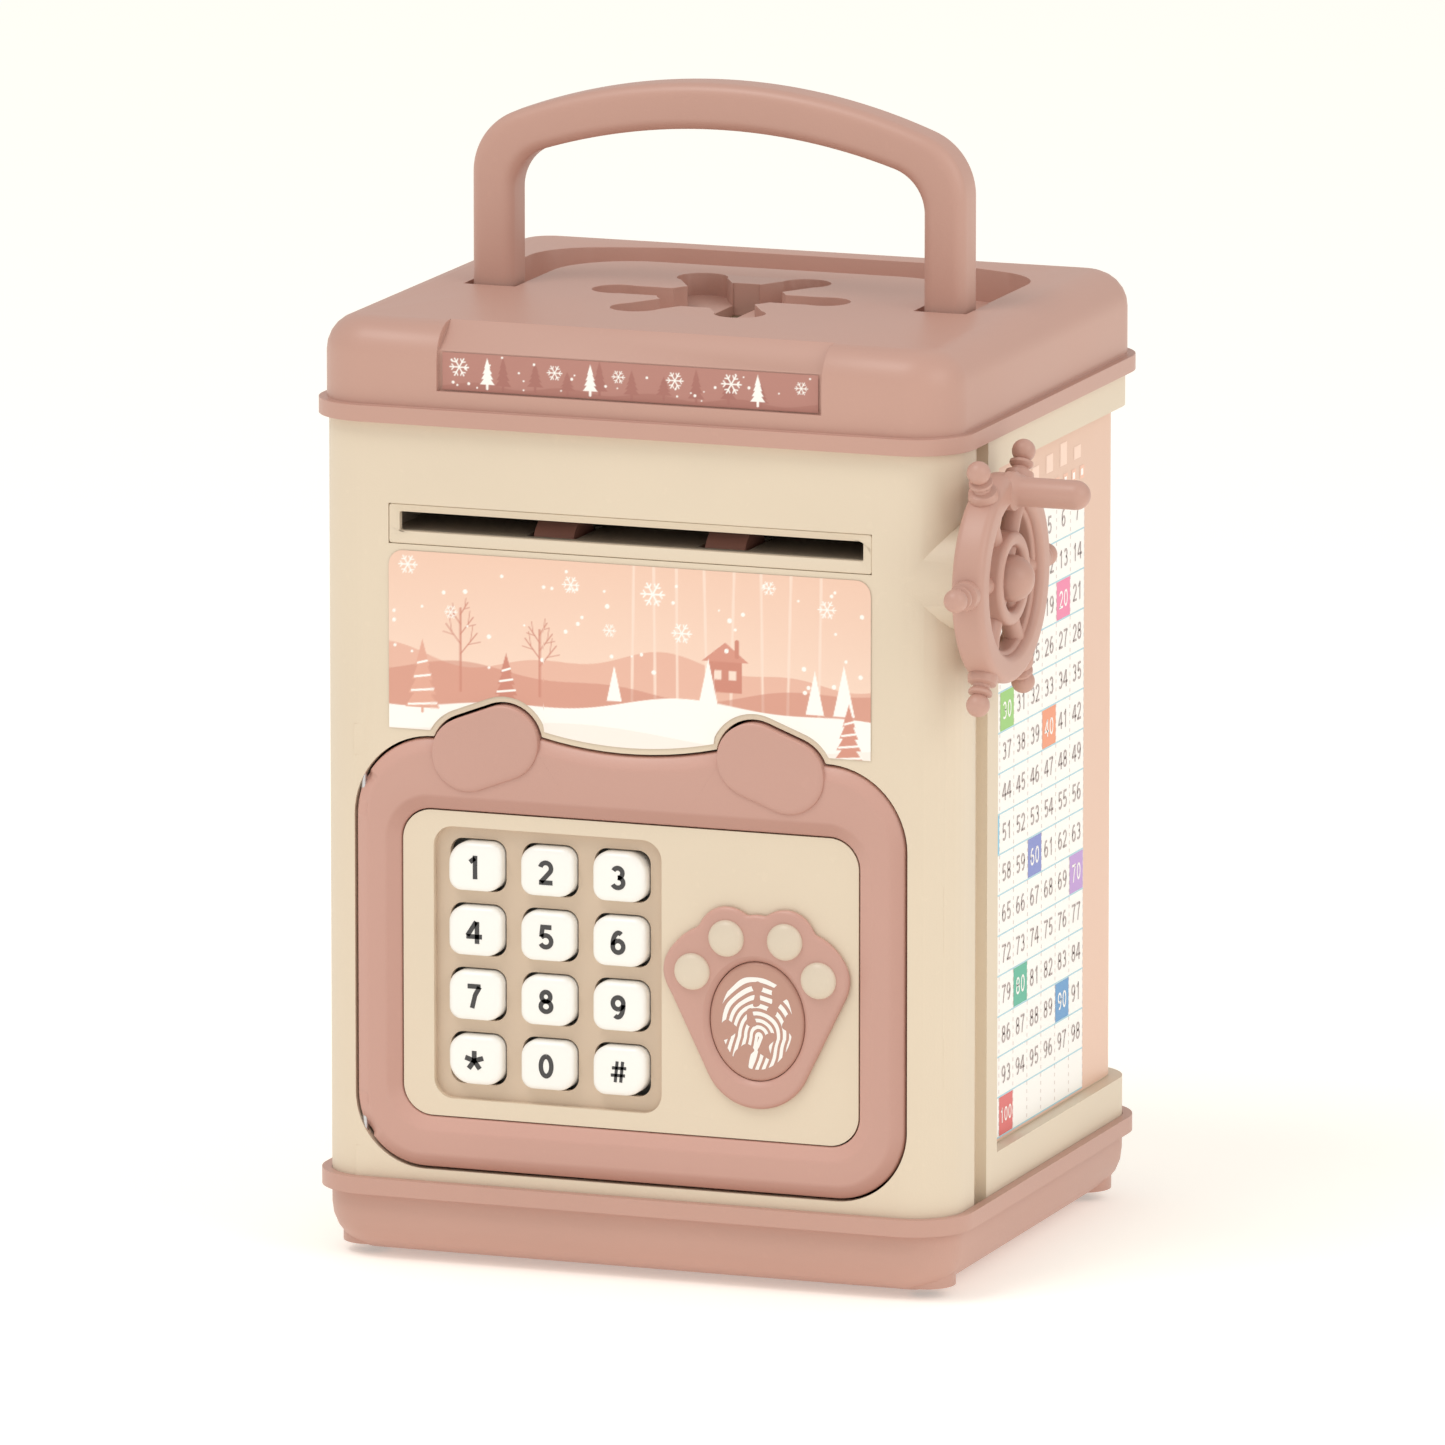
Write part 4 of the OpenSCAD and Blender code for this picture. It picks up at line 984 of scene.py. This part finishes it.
class Painting:
    """Layers of flat ink on a field of points: each layer covers what its mask says."""

    def __init__(self, x, z, ground):
        self.x, self.z = x, z
        self.ink = np.broadcast_to(ground, x.shape + (3,)).copy()

    def cover(self, distance, colour, soft=0.14, share=1.0):
        """Inks the points where the distance is below zero, with a soft edge."""
        mask = np.clip(0.5 - distance / soft, 0, 1)[..., None] * share
        self.ink = self.ink * (1 - mask) + np.asarray(colour) * mask

    def disc(self, x, z, radius, colour, share=1.0):
        self.cover(np.hypot(self.x - x, self.z - z) - radius, colour, share=share)

    def line(self, x0, z0, x1, z1, width, colour, share=1.0):
        """Distance to a segment, less half its width."""
        run, rise = x1 - x0, z1 - z0
        t = np.clip(((self.x - x0) * run + (self.z - z0) * rise) / (run**2 + rise**2), 0, 1)
        gap = np.hypot(self.x - x0 - t * run, self.z - z0 - t * rise)
        self.cover(gap - width / 2, colour, share=share)

    def wedge(self, x, foot, top, half, colour, share=1.0):
        """An upright triangle: its half width shrinks evenly to the top."""
        spread = half * (top - self.z) / (top - foot)
        self.cover(np.maximum(np.abs(self.x - x) - spread, foot - self.z), colour, share=share)

    def hill(self, height, colour, share=1.0):
        self.cover(self.z - height, colour, share=share)

    def flake(self, x, z, radius, colour):
        """Six arms with two barbs each."""
        for step in range(6):
            lean = TURN * step / 6
            tip = np.array([np.cos(lean), np.sin(lean)]) * radius
            self.line(x, z, x + tip[0], z + tip[1], radius * 0.13, colour)
            for turn in (-0.9, 0.9):
                barb = np.array([np.cos(lean + turn), np.sin(lean + turn)]) * radius * 0.36
                base = tip * 0.58
                x0, z0 = x + base[0], z + base[1]
                self.line(x0, z0, x0 + barb[0], z0 + barb[1], radius * 0.11, colour)

    def fir(self, x, foot, height, half, colour, band=None):
        """Four stacked wedges on a trunk, with bands between them."""
        self.line(x, foot - 0.8, x, foot + 1, 0.5, colour)
        for step in range(4):
            low = foot + height * 0.22 * step
            self.wedge(x, low, low + height * 0.42, half * (1 - 0.2 * step), colour)
            if band is not None:
                reach = half * (0.8 - 0.18 * step)
                self.line(x - reach, low + 0.5, x + reach, low + 1.0, 0.4, band)

    def bare_tree(self, x, foot, height, width, colour, share=1.0):
        """A trunk with forked twigs."""
        self.line(x, foot, x, foot + height, width, colour, share)
        for step, (reach, rise) in enumerate(((3.4, 4.2), (-3.0, 3.8), (2.6, 3.4), (-2.2, 3.0), (1.5, 2.4))):
            z = foot + height * (0.45 + 0.12 * step)
            self.line(x, z, x + reach, z + rise, width * 0.5, colour, share)
            for fork, out, up in ((0.6, 0.75, 1.35), (0.45, 1.2, 0.6)):
                start = (x + reach * fork, z + rise * fork)
                self.line(*start, x + reach * out, z + rise * up, width * 0.35, colour, share)


SNOW, SKY, MIST = srgb(253, 250, 245), srgb(238, 200, 179), srgb(247, 222, 205)
SALMON, ROSE, DUSK = srgb(226, 170, 150), srgb(205, 136, 118), srgb(214, 148, 130)
PALE = srgb(246, 221, 206)


def winter(x, z, low, high, left, right, seed):
    """A winter landscape: sky, two ranges of hills, a hut, trees, drifting snow and snow ground."""
    width, height = right - left, high - low
    paint = Painting(x, z, SKY)
    rise = np.clip((z - low) / height, 0, 1)[..., None]
    paint.ink = MIST * (1 - rise) + SKY * rise
    draw = np.random.default_rng(seed)
    far = low + height * (0.43 + 0.05 * np.sin(x * 0.09 + 1) + 0.025 * np.sin(x * 0.23))
    near = low + height * (0.34 + 0.045 * np.sin(x * 0.07 + 4) + 0.02 * np.sin(x * 0.19 + 2))
    paint.hill(far + 2.4, SALMON, 0.75)
    for k in range(8):
        tree_x = left + width * (0.5 + 0.055 * k) + draw.uniform(-1, 1)
        paint.line(tree_x, low + height * 0.25, tree_x + draw.uniform(-0.8, 0.8), high + 2, 0.55, PALE, 0.85)
    hut_x, hut_z = left + width * 0.70, low + height * 0.43
    wall = np.maximum(np.abs(x - hut_x) - 3.4, np.abs(z - hut_z - 1.4) - 3.2)
    paint.cover(wall, ROSE)
    paint.wedge(hut_x, hut_z + 4.2, hut_z + 8.0, 4.8, DUSK)
    for step in (-1.5, 1.5):
        paint.cover(np.maximum(np.abs(x - hut_x - step) - 0.75, np.abs(z - hut_z - 1.6) - 0.9), PALE)
    paint.line(hut_x + 2.4, hut_z + 5.4, hut_x + 2.4, hut_z + 8.2, 0.9, ROSE)
    paint.hill(near + 1.8, ROSE, 0.6)
    for share, size in ((0.15, 1.0), (0.315, 0.8)):
        paint.bare_tree(left + width * share, low + height * 0.3, height * 0.42 * size, 0.55, ROSE, 0.8)
    for share, tall in ((0.47, 7), (0.665, 9.5), (0.885, 8.5), (0.945, 10)):
        foot = low + height * 0.3
        paint.wedge(left + width * share, foot, foot + tall, tall * 0.22, SNOW)
    ground = low + height * (0.27 + 0.05 * np.sin(x * 0.055 + 0.6) + 0.02 * np.sin(x * 0.16))
    paint.hill(ground, SNOW)
    shade = low + height * (0.13 + 0.04 * np.sin(x * 0.08 + 2.4))
    paint.hill(shade, srgb(247, 236, 228), 0.8)
    paint.fir(left + width * 0.245, low + height * 0.24, 9.5, 2.9, ROSE, SNOW)
    paint.fir(left + width * 0.955, low + height * 0.07, 10.5, 3.2, DUSK, SNOW)
    paint.fir(left + width * 0.07, low + height * 0.2, 12.5, 3.6, SALMON, SNOW)
    for _ in range(46):
        spot = draw.uniform(left + 1, right - 1), draw.uniform(low + height * 0.4, high - 1)
        paint.disc(*spot, draw.uniform(0.2, 0.5), SNOW)
    flakes = (
        (0.04, 0.93, 1.9), (0.38, 0.88, 1.7), (0.55, 0.86, 2.4), (0.61, 0.67, 2.0),
        (0.91, 0.84, 1.8), (0.13, 0.7, 1.3), (0.79, 0.93, 1.4), (0.46, 0.66, 1.3),
    )
    for share_x, share_z, radius in flakes:
        paint.flake(left + width * share_x, low + height * share_z, radius, SNOW)
    return paint.ink


class BANK_OT_picture(BankOperator, bpy.types.Operator):
    """Winter picture over the door, cut out round the ears, and the small plate in the lid"""

    bl_idname = "bank.picture"
    bl_label = "Front picture and lid plate"

    def execute(self, context):
        half, top, low = PICTURE_HIGH[0], PICTURE_HIGH[2], PICTURE_LOW[2]
        x = np.linspace(-half, half, 470)
        dip_r, ear_gap, rim = 78.0, 1.7, 3.0
        dip = 103.8 + dip_r - np.sqrt(dip_r**2 - x**2)
        edge = np.maximum(low, np.where(np.abs(x) < 22, dip, 104.6) + ear_gap)
        for side in (-1, 1):
            ear = resample(ear_outline(side, ear_gap), 900)
            upper = ear[ear[:, 1] > EAR_LOW[1] - 1]
            order = np.argsort(upper[:, 0])
            inside = (x > ear[:, 0].min()) & (x < ear[:, 0].max())
            fit = np.interp(x, upper[order, 0], upper[order, 1])
            edge = np.where(inside, np.maximum(edge, fit), edge)
        corner = np.clip(np.abs(x) - (half - rim), 0, rim)
        round_off = rim - np.sqrt(rim**2 - corner**2)
        z0, z1 = edge, top - round_off
        share = np.linspace(0, 1, 190)[:, None]
        z = z0 + (z1 - z0) * share
        x = np.broadcast_to(x, z.shape)
        points = np.stack([x, np.full(z.shape, PICTURE_LOW[1]), z], -1)
        ink = winter(x, z, 103.0, top, -half, half, 5)
        faces, finish = grid_faces(*z.shape, wrap_columns=False), self.finish("printed ink")
        inked("winter_picture", points, faces, ink, finish, "case", ["picture_sticker"])
        self.plate()
        return {"FINISHED"}

    def plate(self):
        """The lid's small plate: snowflakes, firs and dots, with no wording."""
        low, high = PLATE_LOW, PLATE_HIGH
        x, z = np.meshgrid(np.linspace(low[0], high[0], 470), np.linspace(low[2], high[2], 60))
        paint = Painting(x, z, srgb(182, 128, 117))
        mid = (low[2] + high[2]) / 2
        paint.hill(low[2] + 1.2 + 0.5 * np.sin(x * 0.35), srgb(172, 116, 105))
        red = srgb(168, 110, 100)
        for step in range(9):
            paint.fir(low[0] + 12.5 + step * 6.6, mid - 2.4 + 0.3 * (step % 2), 5.4 - (step % 3), 1.7, red)
        for share, size in ((0.045, 1.9), (0.77, 2.0), (0.955, 1.3), (0.3, 1.5), (0.47, 1.3), (0.62, 1.7)):
            paint.flake(low[0] + (high[0] - low[0]) * share, mid + 0.9, size, SNOW)
        for share in (0.12, 0.84, 0.395):
            paint.fir(low[0] + (high[0] - low[0]) * share, mid - 2.2, 4.8, 1.5, SNOW)
        draw = np.random.default_rng(11)
        for _ in range(34):
            spot = draw.uniform(low[0], high[0]), draw.uniform(low[2] + 0.6, high[2] - 0.4)
            paint.disc(*spot, draw.uniform(0.14, 0.3), SNOW)
        points = np.stack([x, np.full(x.shape, low[1]), z], -1)
        faces, finish = grid_faces(*x.shape, wrap_columns=False), self.finish("printed ink")
        inked("lid_plate", points, faces, paint.ink, finish, "case", ["name_plate"])


class BANK_OT_chart(BankOperator, bpy.types.Operator):
    """Savings chart with a hundred numbered cells on the right, and a landscape on the back and left"""

    bl_idname = "bank.chart"
    bl_label = "Savings chart"

    def execute(self, context):
        softened("chart_sticker", 0, self.finish("chart film"), "case")
        ink = self.finish("printed ink")
        self.table(ink)
        lift = 0.04
        step = np.linspace(0, 1, 330)
        rise = np.linspace(25.3, 76, 230)[:, None]
        across = -47 + 94 * step
        x, z = np.broadcast_to(across, (230, 330)), np.broadcast_to(rise, (230, 330))
        colours = winter(x * 0.9, z, 25.0, 92.0, -45, 45, 21)
        back_y = box_mm("chart_sticker")[1][1] + lift
        points = np.stack([-x, np.full(x.shape, back_y), z], -1)
        self.faded("back_landscape", points, z, colours, ink)
        y = np.broadcast_to(-26 + 71 * step, (230, 330))
        colours = winter(y * 1.2, z, 25.0, 92.0, -31, 54, 8)
        points = np.stack([np.full(y.shape, -CHART_X - lift), 19 - y, z], -1)
        self.faded("side_landscape", points, z, colours, ink)
        return {"FINISHED"}

    def faded(self, name, points, z, colours, finish):
        """A landscape that fades upwards into the film's own colour."""
        film = np.array(self.colours.film)
        fade = np.clip((z - 60) / 15, 0, 1)[..., None]
        faces = grid_faces(*z.shape, wrap_columns=False)
        inked(name, points, faces, colours * (1 - fade) + film * fade, finish, "case")

    def table(self, finish):
        """Ten-cell steps in colour, the rest white, fifteen rows of seven, numbered from the top."""
        x, y0, z1, cell_y, cell_z = CHART_X + 0.03, -26.2, 145.6, 8.25, 8.0
        columns, rows = 7, 15
        points, faces, inks = [], [], []

        def quad(ya, yb, za, zb, colour, lift=0.0):
            first = len(points)
            points.extend([(x + lift, ya, za), (x + lift, yb, za), (x + lift, yb, zb), (x + lift, ya, zb)])
            faces.append([first, first + 1, first + 2, first + 3])
            inks.extend([colour] * 4)

        def number(text, y, z, size, colour):
            for place, sign in enumerate(text):
                middle = y + (place - (len(text) - 1) / 2) * SIGN_STEP * size
                for line in SIGNS[sign]:
                    edges = ribbon(line[::2] if len(line) > 12 else line, 0.13) * size
                    count, first = len(edges), len(points)
                    flat = edges.reshape(-1, 2)
                    points.extend(np.insert(flat + [middle, z], 0, x + 0.05, 1).tolist())
                    faces.extend((grid_faces(count, 2, wrap_columns=False)[:, ::-1] + first).tolist())
                    inks.extend([colour] * len(flat))

        tens = {
            10: (250, 203, 88), 20: (240, 128, 170), 30: (150, 205, 110), 40: (240, 150, 110),
            50: (120, 195, 226), 60: (122, 134, 205), 70: (190, 150, 215), 80: (74, 180, 150),
            90: (84, 150, 206), 100: (222, 98, 98),
        }
        line, dots = srgb(172, 214, 226), srgb(214, 196, 190)
        white, grey = srgb(253, 250, 246), srgb(176, 160, 158)
        quad(y0, y0 + columns * cell_y, z1 - rows * cell_z, z1, white)
        for row in range(rows + 1):
            quad(y0, y0 + columns * cell_y, z1 - row * cell_z - 0.16, z1 - row * cell_z + 0.16, line, 0.015)
        for column in range(columns + 1):
            for dash in range(rows * 5):
                z = z1 - dash * cell_z / 5
                quad(y0 + column * cell_y - 0.16, y0 + column * cell_y + 0.16, z - 0.9, z - 0.15, dots, 0.02)
        for value in range(1, 101):
            row, column = divmod(value - 1, columns)
            y, z = y0 + (column + 0.5) * cell_y, z1 - (row + 0.5) * cell_z
            if value in tens:
                quad(y - cell_y / 2 + 0.2, y + cell_y / 2 - 0.2, z - 3.8, z + 3.8, srgb(*tens[value]), 0.03)
            number(str(value), y, z, 3.6 if value < 100 else 3.0, white if value in tens else grey)
        peach = srgb(240, 190, 166)
        for step in range(12):
            y = y0 + 2.4 + step * 4.9
            quad(y - 1.3, y + 1.3, z1 + 2.0, z1 + 4.6, peach, 0.01)
            quad(y - 0.65, y + 0.65, z1 + 2.65, z1 + 3.95, white, 0.02)
        for step in range(7):
            y, tall = y0 + 4 + step * cell_y, 5 + 2 * (step % 3)
            quad(y - 2, y + 2, z1 + 6.4, z1 + 6.4 + tall * 0.5, srgb(247, 214, 196), 0.01)
        inked("savings_chart", points, faces, inks, finish, "case")


class BANK_OT_insides(BankOperator, bpy.types.Operator):
    """Finishes on the parts that keep their own shape: rollers, axles, pins, screws, lock, board and cells"""

    bl_idname = "bank.insides"
    bl_label = "Inside parts"

    def execute(self, context):
        by_slot = {
            "cream_plastic": "cream plastic", "key_plastic": "key plastic",
            "roller_plastic": "roller plastic",
            "roller_rubber": "pressure rubber", "guide_plastic": "guide plastic", "steel": "steel",
            "battery_jacket": "cell jacket", "speaker_cone": "dark plastic", "foot_rubber": "foot rubber",
            "mat_rubber": "mat rubber", "circuit_board": "green board", "coil_winding": "copper winding",
            "pink_plastic": "pink plastic", "printed_sheet": "chart film", "print_pad": "pad plastic",
        }
        for part in frame["record"]["subparts"]:
            node = NODES[part["node"]]
            node.data.materials.clear()
            node.data.materials.append(self.finish(by_slot[part["material_slot"]]))
        return {"FINISHED"}


class BANK_OT_stage(BankOperator, bpy.types.Operator):
    """Pale floor, even light with one large soft lamp, and the camera"""

    bl_idname = "bank.stage"
    bl_label = "Stage"

    def execute(self, context):
        scene, stage = context.scene, context.scene.bank_stage
        mesh = bpy.data.meshes.new("floor")
        reach = 30.0
        corners = [(-reach, -reach, 0), (reach, -reach, 0), (reach, reach, 0), (-reach, reach, 0)]
        mesh.from_pydata(corners, [], [[0, 1, 2, 3]])
        floor = bpy.data.objects.new("floor", mesh)
        scene.collection.objects.link(floor)
        glow = {"Emission_Color": (1, 0.985, 0.94, 1), "Emission_Strength": 0.3}
        pale = Recipe("floor paint", 0.95, Specular_IOR_Level=0.0, **glow)
        tone = pale.mix(pale.noise(1.2, 2), (0.93, 0.915, 0.87, 1), (0.95, 0.935, 0.89, 1))
        mesh.materials.append(pale.done(tone, 0.95))
        world = bpy.data.worlds.new("even light")
        world.use_nodes = True
        sky = world.node_tree.nodes["Background"]
        sky.inputs["Color"].default_value = (1.0, 0.985, 0.945, 1)
        sky.inputs["Strength"].default_value = stage.daylight
        scene.world = world
        target = np.array([-0.00155, 0.0, 0.10016])
        for name, offset, size, power in (
            ("key lamp", (-0.6, -0.95, 1.9), 0.9, stage.lamp),
            ("side lamp", (1.6, -0.5, 0.9), 1.2, stage.lamp * 0.5),
        ):
            data = bpy.data.lights.new(name, "AREA")
            data.energy, data.size, data.color = power, size, (1.0, 0.985, 0.96)
            lamp = bpy.data.objects.new(name, data)
            scene.collection.objects.link(lamp)
            self.aim(lamp, target + offset, target)
        lens = bpy.data.cameras.new("camera")
        lens.lens, lens.sensor_width, lens.clip_end = stage.lens, 36.0, 100.0
        camera = bpy.data.objects.new("camera", lens)
        scene.collection.objects.link(camera)
        a, e = np.radians(stage.azimuth), np.radians(stage.elevation)
        back = np.array([np.sin(a) * np.cos(e), -np.cos(a) * np.cos(e), np.sin(e)])
        self.aim(camera, target + back * stage.distance, target)
        scene.camera = camera
        scene.view_settings.view_transform = "Standard"
        return {"FINISHED"}

    def aim(self, thing, place, target):
        """Stands a lamp or camera at the place, looking at the target."""
        thing.location = place
        thing.rotation_mode = "QUATERNION"
        thing.rotation_quaternion = Vector(target - place).to_track_quat("-Z", "Y")


class BANK_PT_panel(bpy.types.Panel):
    """Lists the pieces and the stage"""

    bl_label = "Coin Bank"
    bl_space_type = "VIEW_3D"
    bl_region_type = "UI"
    bl_category = "Coin Bank"

    def draw(self, context):
        for operator in OPERATORS:
            self.layout.operator(operator.bl_idname)
        for group in (context.scene.bank_colours, context.scene.bank_sizes, context.scene.bank_stage):
            for name in group.__annotations__:
                self.layout.prop(group, name)


OPERATORS = (
    BANK_OT_base, BANK_OT_shells, BANK_OT_lid, BANK_OT_handle, BANK_OT_wheel, BANK_OT_door_frame,
    BANK_OT_door_panel, BANK_OT_keys, BANK_OT_paw, BANK_OT_picture, BANK_OT_chart, BANK_OT_insides,
    BANK_OT_stage,
)
GROUPS = {"bank_colours": BankColours, "bank_sizes": BankSizes, "bank_stage": BankStage}


def register():
    for group in GROUPS.values():
        bpy.utils.register_class(group)
    for name, group in GROUPS.items():
        setattr(bpy.types.Scene, name, PointerProperty(type=group))
    for operator in (*OPERATORS, BANK_PT_panel):
        bpy.utils.register_class(operator)


def unregister():
    for operator in reversed((*OPERATORS, BANK_PT_panel)):
        bpy.utils.unregister_class(operator)
    for name, group in GROUPS.items():
        delattr(bpy.types.Scene, name)
        bpy.utils.unregister_class(group)


def main():
    """Builds every piece in order."""
    register()
    for operator in OPERATORS:
        getattr(bpy.ops.bank, operator.bl_idname.split(".")[1])()


if __name__ == "__main__":
    main()
